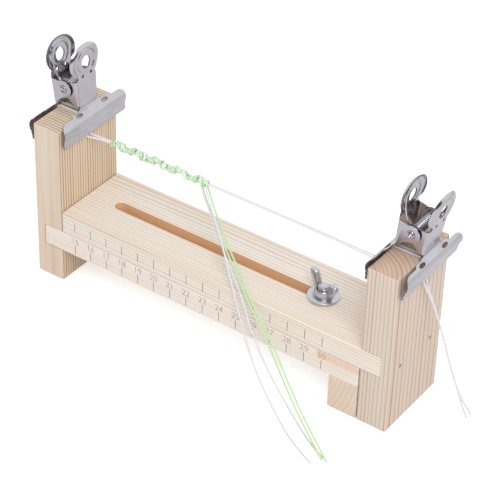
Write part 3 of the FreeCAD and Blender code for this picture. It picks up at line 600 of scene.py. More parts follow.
# The white cord again, a little darker: painted shade for the hanging tails and the loose white strands.
SHADED_WHITE_CORD = make_cord_material("shaded_white_cord", colour(236, 236, 241), colour(204, 204, 212))
GREEN_CORD = make_cord_material("green_cord", colour(212, 238, 192), colour(174, 214, 144))
MINT_CORD = make_cord_material("mint_cord", colour(212, 240, 202), colour(166, 212, 158))
MILK_CORD = make_cord_material("milk_cord", colour(236, 250, 232), colour(190, 226, 184))

# Each cord's route in millimetres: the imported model's, with more points where the core bends over the posts.
CORE_ROUTES = {
    "core_a_left": [
        (-8.8, -2.9, 76.9), (-8.8, -2.9, 86.0), (-8.8, -2.9, 90.925), (-3.9, -2.87, 90.925),
        (3.9, -2.83, 90.925), (8.8, -2.8, 90.925), (8.8, -2.6, 86.0), (8.8, -2.3, 81.4),
        (8.8, -2.2, 78.3), (11.8, -1.2, 78.25), (17.7, 0.75, 78.1), (21.9, 0.75, 78.1),
    ],
    "core_b_left": [
        (-8.8, 0, 76.9), (-8.8, 0, 86.0), (-8.8, 0, 90.925), (-3.9, 0.2, 90.925),
        (3.9, 0.5, 90.925), (8.8, 0.7, 90.925), (8.8, 0.8, 86.0), (8.8, 0.85, 81.4),
        (8.8, 0.9, 78.3), (11.8, 1.25, 78.25), (17.7, 1.95, 78.1), (21.9, 1.95, 78.1),
    ],
    "core_a_span": [(81.9, 0.75, 78.1), (157.9, 0.6, 78.5), (185.9, -1.1, 78.5)],
    "core_b_span": [(81.9, 1.95, 78.1), (157.9, 1.8, 78.5), (185.9, 0.9, 78.5)],
    "core_a_tail": [
        (185.9, -1.1, 78.5), (187.45, -1.194, 78.5), (187.45, -1.3, 81.4), (187.45, -1.7, 86.0),
        (187.45, -1.9, 90.925), (192.3, -1.9, 90.925), (200.2, -1.9, 90.925), (205.05, -1.9, 90.925),
        (205.05, -1.5, 86.0), (205.05, -0.35, 76.2), (209.7, 1.4, 67.2), (215.0, 3.5, 51.2),
        (220.5, 5.6, 31.0), (225.4, 7.5, 15.2), (228.0, 8.6, 6.2), (230.2, 9.5, 0.6),
    ],
    "core_b_tail": [
        (185.9, 0.9, 78.5), (187.45, 0.85, 78.5), (187.45, 0.7, 81.4), (187.45, 0.4, 86.0),
        (187.45, 0.3, 90.925), (192.3, 0.3, 90.925), (200.2, 0.3, 90.925), (205.05, 0.3, 90.925),
        (205.05, 0.9, 86.0), (205.05, 2.15, 76.2), (208.6, 3.6, 65.4), (213.9, 5.7, 49.2),
        (219.2, 7.9, 28.9), (224.2, 10.0, 12.8), (227.6, 11.4, 6.0), (230.8, 12.7, 0.6),
    ],
}
STRAND_ROUTES = {
    "green_strand_a": [
        (77.9, 1.2, 77.0), (82.4, -1.0, 70.0), (89.4, -4.2, 63.0), (102.4, -11.5, 54.6),
        (112.9, -17.5, 49.4), (122.9, -23.4, 43.6), (131.9, -27.8, 38.0), (143.9, -33.5, 30.6),
        (158.4, -40.7, 18.6), (170.9, -46.8, 10.0), (182.4, -52.5, 4.4), (191.6, -57.0, 0.6),
    ],
    "green_strand_b": [
        (81.2, 1.5, 77.0), (85.5, -0.1, 69.6), (91.4, -3.1, 63.6), (103.9, -10.8, 55.4),
        (114.5, -16.8, 50.2), (124.4, -23.1, 43.8), (133.4, -27.1, 38.5), (145.4, -32.7, 31.2),
        (160.0, -39.8, 19.2), (172.5, -46.0, 10.6), (184.2, -51.9, 5.0), (193.8, -56.7, 0.6),
    ],
    "white_strand_a": [
        (81.0, 0.2, 76.8), (85.4, -2.8, 72.4), (91.2, -6.6, 67.2), (98.0, -11.1, 61.6),
        (104.4, -15.6, 55.8), (110.5, -20.0, 49.4), (115.6, -23.7, 43.6), (119.5, -25.6, 36.6),
        (123.9, -27.7, 29.6), (129.0, -30.4, 22.2), (138.4, -35.5, 12.4), (151.9, -42.7, 4.9),
        (166.0, -50.6, 0.7), (177.6, -57.2, 0.6), (188.2, -62.0, 0.6),
    ],
    "white_strand_b": [
        (78.3, 0.0, 76.8), (83.6, -3.2, 70.4), (90.4, -6.0, 64.6), (101.9, -13.2, 55.4),
        (112.4, -19.4, 48.8), (120.1, -23.7, 43.6), (126.0, -26.5, 34.8), (133.3, -29.8, 25.4),
        (144.8, -35.0, 16.4), (159.9, -41.8, 8.8), (172.9, -47.6, 3.4), (182.4, -51.9, 0.8),
        (190.8, -55.6, 0.6),
    ],
}


def make_cord(name, route, material, body=None):
    """Twist one cord along its route, in the place of its plain tube.

    Without a body it is held at both ends, by the jig and the slider, and is left in place, attached to
    neither.
    """
    points = even_points(spline_points(route), CORD_STEP)
    mesh = tube_mesh(name + "_cord", points, CORD_DIAMETER / 2, CORD_SIDES, PLY_PITCH, PLY_DEPTH)
    piece = add_piece(name + "_cord", mesh, material)
    if body:
        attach(piece, body)
    else:
        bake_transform(piece)
    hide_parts(name)


def make_cords():
    """Make every free cord: two stubs, two spans, two tails and four working strands."""
    for side in "ab":
        stub = "core_%s_left" % side
        make_cord(stub, CORE_ROUTES[stub][::-1], WHITE_CORD, "jig")
        span = "core_%s_span" % side
        make_cord(span, CORE_ROUTES[span], WHITE_CORD)
        tail = "core_%s_tail" % side
        # The tails take the darker copy of the white cord: painted shade.
        make_cord(tail, CORE_ROUTES[tail], SHADED_WHITE_CORD, "slider")
    for name, route in STRAND_ROUTES.items():
        green = name.startswith("green")
        # The loose white strands take the darker copy of the white cord too: painted shade.
        material, slot = (GREEN_CORD, "green_cord") if green else (SHADED_WHITE_CORD, "white_cord")
        make_cord(name, route, material, "jig")


make_cords()


# Spring clips. A clip is drawn about its pin: X out to the right, Y along the pin, Z up to the rings.
# Its left half has the ears that lie over the right half's.

CLIP_LEANS = {"left_clip": -5.33, "right_clip": 8.29}
OUTER_SIDES = {"left_clip": "left", "right_clip": "right"}
SHEET = 0.7
EDGE_EASE = 0.08
EASED_ANGLE, SHEET_SHARP = 50, 35

LEVER_OUT, LEVER_LEAN = 8.51, 3.44
RING_RISE, RING_WIDE, RING_TALL = 14.28, 10.8, 8.8
HOLE_RISE, HOLE_WIDE, HOLE_TALL = 13.36, 3.1, 3.4
GROOVE_RISE, GROOVE_WIDE, GROOVE_TALL = 14.1, 6.7, 6.7
RIM_SWELL, RIM_TURN = 0.3, 1.3
RIM_FADE, TURN_FADE, CREASE_FADE, LIP_FADE = (0.55, 1.05), (0.82, 1.25), (0.45, 0.9), (0.3, 1.0)
CREASE_DEPTH, CREASE_WIDTH, CREASE_OUT = 0.42, 0.42, 0.3
LIP_HEIGHT, LIP_WIDTH = 0.3, 0.2
RING_RELIEF_OUT, RING_RELIEF_RISE, RING_RELIEF_RADIUS = 3.2, 6.6, 0.95
RELIEF_SIDES = 24
SHEET_WELD = 0.003 * MM

NECK_WIDES = {"over": 7.2, "under": 6.3}
EAR_PLANES = {"over": 8.85, "under": 7.75}
EAR_ROOT_RISES = {"over": 4.4, "under": 4.6}
EAR_ROOT_DROP = -9.0
EAR_RADIUS = 4.7
EAR_TOP_ANGLE = 57.0
EAR_THROAT = (2.9, -6.3)
PIN_HOLE = 2.1

JAW_TOP = -10.6
JAW_WIDE, SHOULDER_WIDE = 24.3, 8.7
SHOULDER_BENDS = ((1.178, 75.0),)
JAW_START, JAW_HEADING = (7.628, -11.508), -18.44
JAW_BENDS = ((8.229, -89.0), (1.42, 0.0), (0.471, 9.0), (4.092, 0.0), (0.524, 25.0))
JAW_TOP_CORNER, JAW_LOW_CORNER = 4.2, 1.6
JAW_TOP_DROP, JAW_DROP_OUT = 1.3, (12.6, 15.0)
JAW_GROOVES = (9.5, 11.7)
GROOVE_CUT, GROOVE_HALF = 0.42, 0.4
JAW_RELIEF = (9.8, 1.9, 2.4, 0.95)
CUT_MARGIN = 0.28

PLATE_ROWS, ARC_POINTS, SIDE_POINTS, ROOT_POINTS, BASE_POINTS = 50, 150, 44, 5, 30
EAR_POINTS, EAR_ROUND_POINTS, EAR_ROWS = 110, 60, 9
FOLD_POINTS, FOLD_SLANT, FOLD_GAP = 11, 1.3, 0.5
JAW_SIDE_POINTS = 42
ANGLE_POINTS = 2881
CORNER_BLEND = 22


def lever_out(rise):
    """How far out the lever's sheet lies at a height above the pin."""
    return LEVER_OUT + (rise - RING_RISE) * math.tan(math.radians(LEVER_LEAN))


def smooth_step(low, high, value):
    """Rise from 0 at low to 1 at high, level at both ends."""
    share = np.clip((value - low) / (high - low), 0, 1)
    return share * share * (3 - 2 * share)


def reach_to_ellipse(angle, start, rise, wide, tall):
    """Distance from a point on the middle line to an ellipse, at angles from straight up.

    The point runs out along (sin, cos) until (y / wide) squared plus ((z - rise) / tall) squared is 1.
    """
    squares = (np.sin(angle) / wide) ** 2 + (np.cos(angle) / tall) ** 2
    half = (start - rise) * np.cos(angle) / tall ** 2
    rest = ((start - rise) / tall) ** 2 - 1
    return (-half + np.sqrt(half ** 2 - squares * rest)) / squares


def ring_relief(y, z):
    """How far the lever's sheet stands out of its plane: a half round rim, a groove and a lip at the hole.

    Share runs from 0 at the groove's oval to 1 at the ring's edge, on a line from the ring's middle.
    The rim is swell * sin(half a turn * share) less turn * share cubed, so it curls in at the edge.
    The crease and the lip are bell curves of the distance from the groove and from the hole. Each dies
    out towards straight down, where the ring runs into the flat neck, over its own range of angles.
    """
    angle = np.arctan2(y, z - GROOVE_RISE)
    from_below = math.pi - np.abs(angle)
    reach = np.hypot(y, z - GROOVE_RISE)
    edge = reach_to_ellipse(angle, GROOVE_RISE, RING_RISE, RING_WIDE, RING_TALL)
    groove = reach_to_ellipse(angle, GROOVE_RISE, GROOVE_RISE, GROOVE_WIDE, GROOVE_TALL)
    share = np.clip((reach - groove) / (edge - groove), 0, 1)
    swell = RIM_SWELL * np.sin(math.pi * share ** 0.8) * smooth_step(*RIM_FADE, from_below)
    curl = RIM_TURN * share ** 3 * smooth_step(*TURN_FADE, from_below)
    crease = np.exp(-((reach - groove + CREASE_OUT) / CREASE_WIDTH) ** 2)
    crease = CREASE_DEPTH * crease * smooth_step(*CREASE_FADE, from_below)
    hole = np.hypot(y / HOLE_WIDE, (z - HOLE_RISE) / HOLE_TALL) - 1
    lip = LIP_HEIGHT * np.exp(-(hole / LIP_WIDTH) ** 2) * smooth_step(*LIP_FADE, from_below)
    return swell - curl - crease - lip


def plate_outline(wide, fold_top):
    """Outline of the lever: over the ring, down one side of the neck, along its foot and up the other side.

    The ring and the neck are the ring's oval and two upright lines, and the further of the two counts,
    with their corner rounded by adding high powers of both. Also returns the heights down the side.
    """
    angle = np.linspace(-math.pi, math.pi, ANGLE_POINTS)
    ring = reach_to_ellipse(angle, HOLE_RISE, RING_RISE, RING_WIDE, RING_TALL)
    neck = np.where(np.cos(angle) < 0, wide / np.maximum(np.abs(np.sin(angle)), 1e-6), 0)
    reach = (ring ** CORNER_BLEND + np.minimum(neck, 60) ** CORNER_BLEND) ** (1 / CORNER_BLEND)
    loop = np.stack([reach * np.sin(angle), HOLE_RISE + reach * np.cos(angle)], axis=1)
    arc = loop[loop[:, 1] > fold_top]
    arc = np.concatenate([[(-wide, fold_top)], arc, [(wide, fold_top)]])
    side = np.linspace(fold_top, EAR_ROOT_DROP, SIDE_POINTS)
    root = np.linspace(EAR_ROOT_DROP, JAW_TOP, ROOT_POINTS)[1:]
    down = np.concatenate([side, root])
    right = np.stack([np.full(len(down), wide), down], axis=1)
    base = np.stack([np.linspace(wide, -wide, BASE_POINTS), np.full(BASE_POINTS, JAW_TOP)], axis=1)
    left = right[::-1] * (-1, 1)
    return np.concatenate([space_evenly(arc, ARC_POINTS), right[1:], base[1:], left[1:-1]]), side


def lever_plate(wide, fold_top):
    """Flat lever: lines run from the oval hole to the outline.

    On the neck's side their points crowd towards the hole.
    """
    outline, side = plate_outline(wide, fold_top)
    angle = np.arctan2(outline[:, 0], outline[:, 1] - HOLE_RISE)
    inner = reach_to_ellipse(angle, HOLE_RISE, HOLE_RISE, HOLE_WIDE, HOLE_TALL)
    hole = np.stack([inner * np.sin(angle), HOLE_RISE + inner * np.cos(angle)], axis=1)
    crowd = 0.6 * smooth_step(0.3, -0.5, np.cos(angle))[None, :, None]
    share = np.linspace(0, 1, PLATE_ROWS)[:, None, None]
    share = (1 - crowd) * share + crowd * share ** 2
    return hole[None] * (1 - share) + outline[None] * share, side


def plate_surface(flat):
    """Place points of the flat lever on its leaning and pressed sheet."""
    y, z = flat[..., 0], flat[..., 1]
    return np.stack([lever_out(z) + ring_relief(y, z), y, z], axis=-1)


def pierce(corners, flat, oval):
    """Cut an oval out of a flat grid and close the gap round it with a ring of faces.

    The faces with a corner near the oval go. Their outer edges, followed round as a chain, are
    joined to points spaced evenly round the oval.
    """
    middle, halves = np.array(oval[:2]), np.array(oval[2:])
    spots = flat.reshape(-1, 2)
    near = np.linalg.norm((spots - middle) / (halves + CUT_MARGIN), axis=1) < 1
    gone = near[corners].any(axis=-1)
    removed = corners[gone]
    edges = np.stack([removed, np.roll(removed, -1, axis=1)], axis=-1).reshape(-1, 2).tolist()
    inside = {(high, low) for low, high in edges}
    following = {low: high for low, high in edges if (low, high) not in inside}
    chain = [next(iter(following))]
    while len(chain) < len(following):
        chain.append(following[chain[-1]])
    rim = np.array(chain)
    way = (spots[rim] - middle) / halves
    angle = np.unwrap(np.arctan2(way[:, 1], way[:, 0]))
    turned = np.arange(len(rim)) / len(rim) * TURN * np.sign(angle[-1] - angle[0])
    angle = turned + np.mean(angle - turned)
    return gone, rim, middle + halves * np.stack([np.cos(angle), np.sin(angle)], axis=1)


def bent_line(start, heading, bends, step=0.3):
    """Follow straight and evenly turning lengths and return points with headings and distances."""
    spots, headings, along = [np.array(start)], [heading], [0.0]
    for length, turn in bends:
        count = max(int(math.ceil(length / step)), 1)
        for _ in range(count):
            middle = math.radians(headings[-1] + turn / count / 2)
            spots.append(spots[-1] + np.array([math.cos(middle), math.sin(middle)]) * length / count)
            headings.append(headings[-1] + turn / count)
            along.append(along[-1] + length / count)
    return np.array(spots), np.radians(np.array(headings)), np.array(along)


def shoulder_strip(wide):
    """Strip that bends from the neck out to the jaw and widens on the way."""
    spots = bent_line((lever_out(JAW_TOP), JAW_TOP), -90 - LEVER_LEAN, SHOULDER_BENDS, 0.15)[0]
    spots[-1] = JAW_START
    share = np.linspace(0, 1, len(spots))[:, None]
    across = np.linspace(-1, 1, BASE_POINTS)[None, :] * (wide + (SHOULDER_WIDE - wide) * share ** 0.7)
    return np.stack([spots[:, :1] + 0 * across, across, spots[:, 1:] + 0 * across], axis=-1)


def round_off(distance, radius):
    """How much a round corner takes off a side, at a distance into the corner."""
    return radius - np.sqrt(radius ** 2 - np.clip(distance, 0, radius) ** 2)


def jaw_sheet():
    """Flat jaw: half its width at a distance down it is the jaw's own less what its round corners take off.

    Past the ovals its top edge drops by a smooth step.
    """
    along = bent_line(JAW_START, JAW_HEADING, JAW_BENDS)[2]
    length = along[-1]
    cut = round_off(JAW_TOP_CORNER - along, JAW_TOP_CORNER)
    cut = cut + round_off(along - length + JAW_LOW_CORNER, JAW_LOW_CORNER)
    half = (JAW_WIDE - cut)[:, None]
    outer = np.linspace(0, 1, JAW_SIDE_POINTS)[None, 1:]
    right = SHOULDER_WIDE + (half - SHOULDER_WIDE) * outer
    middle = np.linspace(-SHOULDER_WIDE, SHOULDER_WIDE, BASE_POINTS)[None, :] + 0 * half
    y = np.concatenate([-right[:, ::-1], middle, right], axis=1)
    drop = JAW_TOP_DROP * smooth_step(*JAW_DROP_OUT, np.abs(y))
    distance = drop + (length - drop) * (along / length)[:, None]
    return np.stack([y, distance], axis=-1)


def jaw_surface(flat):
    """Place points of the flat jaw on its bent profile, sunk at each groove by a bell curve."""
    spots, headings, along = bent_line(JAW_START, JAW_HEADING, JAW_BENDS)
    distance = flat[..., 1]
    x = np.interp(distance, along, spots[:, 0])
    z = np.interp(distance, along, spots[:, 1])
    heading = np.interp(distance, along, headings)
    sunk = sum(GROOVE_CUT * np.exp(-((distance - groove) / GROOVE_HALF) ** 2) for groove in JAW_GROOVES)
    return np.stack([x + np.sin(heading) * sunk, flat[..., 0], z - np.cos(heading) * sunk], axis=-1)


def fold_strip(hand, layer, side):
    """Quarter round fold between the neck's edge and the ear.

    Its top slants down from the ring to the ear by (1 - sin of the bend) to a power.
    """
    rise, wide = EAR_ROOT_RISES[layer], NECK_WIDES[layer]
    radius = EAR_PLANES[layer] - wide
    angle = np.linspace(0, math.pi / 2, FOLD_POINTS)[None, :]
    top = rise + (side[0] - rise) * (1 - np.sin(angle)) ** FOLD_SLANT
    share = ((side - EAR_ROOT_DROP) / (side[0] - EAR_ROOT_DROP))[:, None]
    z = EAR_ROOT_DROP + (top - EAR_ROOT_DROP) * share
    x = lever_out(z) - radius + radius * np.cos(angle)
    return np.stack([x, hand * (wide + radius * np.sin(angle)) + 0 * z, z], axis=-1)


def ear_plate(hand, layer, root):
    """Ear: lines run from the pin's hole to an outline of the fold's edge, straight edges and a round end.

    The outline's corners are eased by a moving mean of five points.
    """
    turned = np.radians(np.linspace(EAR_TOP_ANGLE, 270, EAR_ROUND_POINTS))
    arc = EAR_RADIUS * np.stack([np.cos(turned), np.sin(turned)], axis=1)
    free = space_evenly(np.concatenate([root[:1], arc, [EAR_THROAT], root[-1:]]), EAR_POINTS)
    weights = np.array([1, 2, 3, 2, 1]) / 9
    kept = EAR_POINTS - len(weights) + 1
    eased = sum(weight * free[start:start + kept] for start, weight in enumerate(weights))
    outline = np.concatenate([free[:2], eased, free[-2:], root[::-1][1:-1]])
    way = outline / np.linalg.norm(outline, axis=1, keepdims=True)
    share = np.linspace(0, 1, EAR_ROWS)[:, None, None]
    flat = PIN_HOLE * way[None] * (1 - share) + outline[None] * share
    return np.stack([flat[..., 0], hand * EAR_PLANES[layer] + 0 * flat[..., 0], flat[..., 1]], axis=-1)


def collect_grids(grids):
    """Join grids into one list of corners and faces.

    Each grid is (points, closed round or not, surface that places flat points or None, ovals to cut).
    """
    vertices, faces, start = [], [], 0
    for points, closed, surface, ovals in grids:
        corners = grid_faces(*points.shape[:2], closed)
        gone = np.zeros(corners.shape[:2], bool)
        flat = points.reshape(-1, points.shape[-1])
        for oval in ovals:
            cut, rim, edge = pierce(corners, points, oval)
            gone |= cut
            inner = len(flat) + np.arange(len(edge))
            faces += (np.stack([rim, np.roll(rim, -1), np.roll(inner, -1), inner], axis=1) + start).tolist()
            flat = np.concatenate([flat, edge])
        faces += (corners[~gone] + start).tolist()
        vertices.append(surface(flat) if surface else flat)
        start += len(flat)
    return np.concatenate(vertices), faces


def clip_sheets(layer):
    """Collect every sheet of one half of a clip, drawn on the side of +X, with edges that meet."""
    wide = NECK_WIDES[layer]
    fold_top = RING_RISE - RING_TALL * math.sqrt(1 - (wide / RING_WIDE) ** 2) - FOLD_GAP
    plate, side = lever_plate(wide, fold_top)
    jaw_cuts = [(hand * JAW_RELIEF[0], *JAW_RELIEF[1:]) for hand in (-1, 1)]
    grids = [
        (plate, True, plate_surface, ()),
        (shoulder_strip(wide), False, None, ()),
        (jaw_sheet(), False, jaw_surface, jaw_cuts),
    ]
    for hand in (-1, 1):
        fold = fold_strip(hand, layer, side)
        grids.append((fold, False, None, ()))
        grids.append((ear_plate(hand, layer, fold[:, -1][:, (0, 2)]), True, None, ()))
    return grids


def clip_place(points, clip, mirrored=False):
    """Turn points from a clip's own frame, in millimetres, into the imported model's."""
    low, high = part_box(clip + "_pin")
    pin = np.array((low + high) / 2)
    lean = math.radians(CLIP_LEANS[clip])
    x = points[..., 0] * (-1 if mirrored else 1)
    y, z = points[..., 1], points[..., 2]
    leaned = [math.cos(lean) * x + math.sin(lean) * z, y, math.cos(lean) * z - math.sin(lean) * x]
    return pin + np.stack(leaned, axis=-1) * MM


def revolve(profile, sides):
    """Spin a profile of (radius, height) pairs about the Z axis, each pair one row of the grid."""
    angle = np.linspace(0, TURN, sides, endpoint=False)[None, :]
    radius, height = (np.array(column)[:, None] for column in zip(*profile))
    return np.stack([radius * np.cos(angle), radius * np.sin(angle), height + 0 * angle], axis=-1)


def relief_bars(clip, mirrored):
    """Corners and faces of two round bars through the lever, where its ring runs into its neck."""
    out = lever_out(RING_RELIEF_RISE)
    spun = revolve([(RING_RELIEF_RADIUS, out - 2), (RING_RELIEF_RADIUS, out + 2)], RELIEF_SIDES)
    vertices, faces = [], []
    for number, hand in enumerate((-1, 1)):
        y, z = hand * RING_RELIEF_OUT + spun[..., 0], RING_RELIEF_RISE + spun[..., 1]
        vertices.append(np.stack([spun[..., 2], y, z], axis=-1).reshape(-1, 3))
        near = number * 2 * RELIEF_SIDES + np.arange(RELIEF_SIDES)
        far = near + RELIEF_SIDES
        faces += [near[::-1].tolist(), far.tolist()]
        faces += np.stack([near, np.roll(near, -1), np.roll(far, -1), far], axis=1).tolist()
    return clip_place(np.concatenate(vertices), clip, mirrored), faces


def weld(mesh, distance):
    """Merge corners that lie within a distance, drop loose ones and turn all faces outwards."""
    work = bmesh.new()
    work.from_mesh(mesh)
    bmesh.ops.remove_doubles(work, verts=work.verts, dist=distance)
    loose = [vertex for vertex in work.verts if not vertex.link_faces]
    bmesh.ops.delete(work, geom=loose, context="VERTS")
    bmesh.ops.recalc_face_normals(work, faces=work.faces)
    work.to_mesh(mesh)
    work.free()


def nickel_holder(name, vertices, faces, cut_face):
    """Put a welded mesh into the scene to work on, plated or all of it in the darker edge material, which is
    partly painted shade.
    """
    mesh = new_mesh(name, vertices, faces)
    weld(mesh, SHEET_WELD)
    mesh.materials.append(NICKEL)
    mesh.materials.append(CUT_EDGE_AND_SHADE)
    mesh.polygons.foreach_set("use_smooth", [not cut_face] * len(mesh.polygons))
    mesh.polygons.foreach_set("material_index", [int(cut_face)] * len(mesh.polygons))
    return link_object(name, mesh)


def thicken(name, vertices, faces, bars):
    """Give a clip's sheet its thickness, eased cut edges and round holes, and return the finished mesh."""
    sheet = nickel_holder(name + "_sheet", vertices, faces, False)
    wall = sheet.modifiers.new("wall", "SOLIDIFY")
    wall.thickness = SHEET * MM
    wall.offset = 0
    wall.use_even_offset = True
    # The rims take the darker edge material, partly painted shade.
    wall.material_offset_rim = 1
    ease = sheet.modifiers.new("ease", "BEVEL")
    ease.width = EDGE_EASE * MM
    ease.segments = 1
    ease.limit_method = "ANGLE"
    ease.angle_limit = math.radians(EASED_ANGLE)
    ease.use_clamp_overlap = False
    drill = sheet.modifiers.new("drill", "BOOLEAN")
    drill.operation = "DIFFERENCE"
    drill.solver = "EXACT"
    # The holes' walls take the bars' darker edge material, partly painted shade.
    drill.object = nickel_holder(name + "_bars", *bars, True)
    depsgraph = bpy.context.evaluated_depsgraph_get()
    mesh = bpy.data.meshes.new_from_object(sheet.evaluated_get(depsgraph), depsgraph=depsgraph)
    for holder in (drill.object, sheet):
        used = holder.data
        bpy.data.objects.remove(holder)
        bpy.data.meshes.remove(used)
    mesh.name = name
    mesh.set_sharp_from_angle(angle=math.radians(SHEET_SHARP))
    return mesh


def lever_names(clip, side):
    """Name the half of a clip on one side, outer or inner, and the body it moves with."""
    kind = "outer" if OUTER_SIDES[clip] == side else "inner"
    return kind, "%s_%s_lever" % (clip.split("_")[0], kind)


def make_clip_half(clip, side):
    """Press one half of a clip from sheet, in the place of its plain node."""
    mirrored = side == "left"
    vertices, faces = collect_grids(clip_sheets("over" if mirrored else "under"))
    vertices = clip_place(vertices, clip, mirrored)
    kind, body = lever_names(clip, side)
    name = "%s_%s_sheet" % (clip, kind)
    mesh = thicken(name, vertices, faces, relief_bars(clip, mirrored))
    stand_in(name, mesh, None, body, "%s_%s_half" % (clip, kind))


PIN_REACH = 9.65
PIN_SIDES = 40
PIN_SHARP = 50
CUP_DEPTHS = {"left_clip": 0.4, "right_clip": 1.5}


def make_pin(clip):
    """Rolled pin whose ends are turned in to a cup with a low button in its middle."""
    deep = CUP_DEPTHS[clip]
    end = [
        (0.3, 0.25 - deep), (0.6, 0.2 - deep), (0.85, -deep), (1.2, -0.8 * deep), (1.45, -0.2), (1.62, 0.0),
        (1.8, 0.0), (1.95, -0.12), (2.02, -0.4),
    ]
    profile = [(radius, PIN_REACH + height) for radius, height in end]
    profile += [(radius, -PIN_REACH - height) for radius, height in end[::-1]]
    points = revolve(profile, PIN_SIDES)[..., (0, 2, 1)]
    mesh = grid_mesh(clip + "_rolled_pin", clip_place(points, clip), closed_round=True, ends=True)
    mesh.set_sharp_from_angle(angle=math.radians(PIN_SHARP))
    mesh.materials.append(NICKEL)
    mesh.materials.append(PIN_SHADE)
    face = np.arange(len(mesh.polygons))
    # The shank's faces take the dark material: painted shade between the coil's turns.
    waist = (len(end) - 1) * PIN_SIDES
    shaded = (face >= waist) & (face < waist + PIN_SIDES)
    mesh.polygons.foreach_set("material_index", shaded.astype(np.int32))
    stand_in(clip + "_rolled_pin", mesh, None, clip, clip + "_pin")


COIL_RADIUS = 2.55
COIL_TURNS = 11
COIL_HALF = 6.85
WIRE_RADIUS = 0.45 * MM
WIRE_SIDES = 14
WIRE_STEP = 0.3 * MM
COIL_STEPS = 40
LEG_ROUTE = [
    (0.0, 0.0, 2.55), (-1.6, 0.0, 2.6), (-3.0, 0.0, 3.0), (-4.3, 0.0, 4.3), (-5.4, 0.0, 6.8),
    (-6.5, 0.0, 9.8), (-7.3, 0.1, 13.0), (-7.6, 0.5, 17.0), (-7.7, 1.9, 20.2),
]


def make_coil(clip):
    """Coil on the pin: it turns evenly from the top at one radius while it moves evenly along the pin."""
    share = np.linspace(0, 1, COIL_TURNS * COIL_STEPS + 1)
    angle = math.pi / 2 - TURN * COIL_TURNS * share
    along = -COIL_HALF + 2 * COIL_HALF * share
    coil = np.stack([COIL_RADIUS * np.cos(angle), along, COIL_RADIUS * np.sin(angle)], axis=1)
    mesh = tube_mesh(clip + "_coil", clip_place(coil, clip), WIRE_RADIUS, WIRE_SIDES)
    stand_in(clip + "_coil", mesh, SPRING, clip, clip + "_spring")


def make_leg(clip, side):
    """Spring leg: a smooth line from the coil's top up behind its lever.

    The route's second value is how far the leg has come in from the coil's end.
    """
    hand = -1 if side == "left" else 1
    line = spline_points(LEG_ROUTE) / MM
    leg = np.stack([line[:, 0], hand * (COIL_HALF - line[:, 1]), line[:, 2]], axis=1)
    path = even_points(clip_place(leg, clip, side == "right"), WIRE_STEP)
    name = "%s_spring_leg_%s" % (clip, side)
    piece = add_piece(name, tube_mesh(name, path, WIRE_RADIUS, WIRE_SIDES), SPRING)
    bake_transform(piece)
    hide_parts(clip + "_spring")


for clip_name in CLIP_LEANS:
    make_clip_half(clip_name, "left")
    make_clip_half(clip_name, "right")
    make_pin(clip_name)
    make_coil(clip_name)
    make_leg(clip_name, "left")
    make_leg(clip_name, "right")


# Wing nut, washer and bolt. Profiles are pairs of a radius and a height.

METAL_WELD = 0.001 * MM
CAST_SHARP, BOLT_SHARP = 50, 30
ROUND_SIDES = 56
NUT_COLLAR = [
    (3.1, 0.0), (5.0, 0.0), (5.15, 0.3), (4.95, 1.2), (4.5, 3.4), (4.35, 3.8), (4.15, 3.9), (3.85, 3.72),
    (3.7, 2.6), (3.1, 2.2),
]
WING_WAYS = (157, -23)
WING_OUTLINE = [
    (3.3, 0.6), (5.6, 0.6), (8.7, 4.8), (10.2, 8.0), (10.6, 9.6), (10.1, 10.5), (7.0, 10.6), (5.9, 10.1),
    (4.5, 7.0), (3.3, 3.9),
]
WING_POINTS = 60
WING_HALF = 1.45
WING_PROFILE = [(0.0, 0.7), (0.5, 0.7), (0.7, 0.97), (0.84, 1.0), (0.93, 0.78), (0.98, 0.4), (1.0, 0.0)]
WASHER_PROFILE = [
    (3.2, 0.05), (3.3, 0.0), (7.95, 0.0), (8.1, 0.12), (8.1, 1.25), (7.95, 1.4), (3.45, 1.4), (3.2, 1.25),
]
BOLT_RADIUS = 3.0
HEAD_RADIUS, HEAD_HEIGHT = 6.5, 3.3
NECK_HEIGHT = 3.4
TIP_PROFILE = [(3.0, -3.7), (2.5, -3.4), (2.5, -0.5), (2.3, -0.08), (2.12, 0.0)]
THREAD_MIDDLE, THREAD_THICK, THREAD_PITCH, THREAD_SINK = 2.58, 0.36, 1.0, 0.35
THREAD_RISE = (-3.4, -0.55)
THREAD_STEPS, THREAD_SIDES, THREAD_FADE = 48, 12, 12


def foot_of(name):
    """Return the middle of a node's underside."""
    low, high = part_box(name)
    return np.array([(low.x + high.x) / 2, (low.y + high.y) / 2, low.z])


def join_meshes(name, parts):
    """Put several meshes into a new one and drop them."""
    work = bmesh.new()
    for part in parts:
        work.from_mesh(part)
        bpy.data.meshes.remove(part)
    mesh = bpy.data.meshes.new(name)
    work.to_mesh(mesh)
    work.free()
    return mesh


def finish_casting(mesh, angle, body, node):
    """Weld a zinc plated mesh, keep the edges over an angle sharp and let it stand for its node."""
    weld(mesh, METAL_WELD)
    mesh.set_sharp_from_angle(angle=math.radians(angle))
    stand_in(mesh.name, mesh, ZINC, body, node)


def smooth_loop(corners, count):
    """Round a closed outline by cutting its corners three times, then space points evenly round it."""
    loop = np.array(corners, float)
    for _ in range(3):
        after = np.roll(loop, -1, axis=0)
        loop = np.stack([0.75 * loop + 0.25 * after, 0.25 * loop + 0.75 * after], axis=1).reshape(-1, 2)
    return space_evenly(np.concatenate([loop, loop[:1]]), count + 1)[:-1]


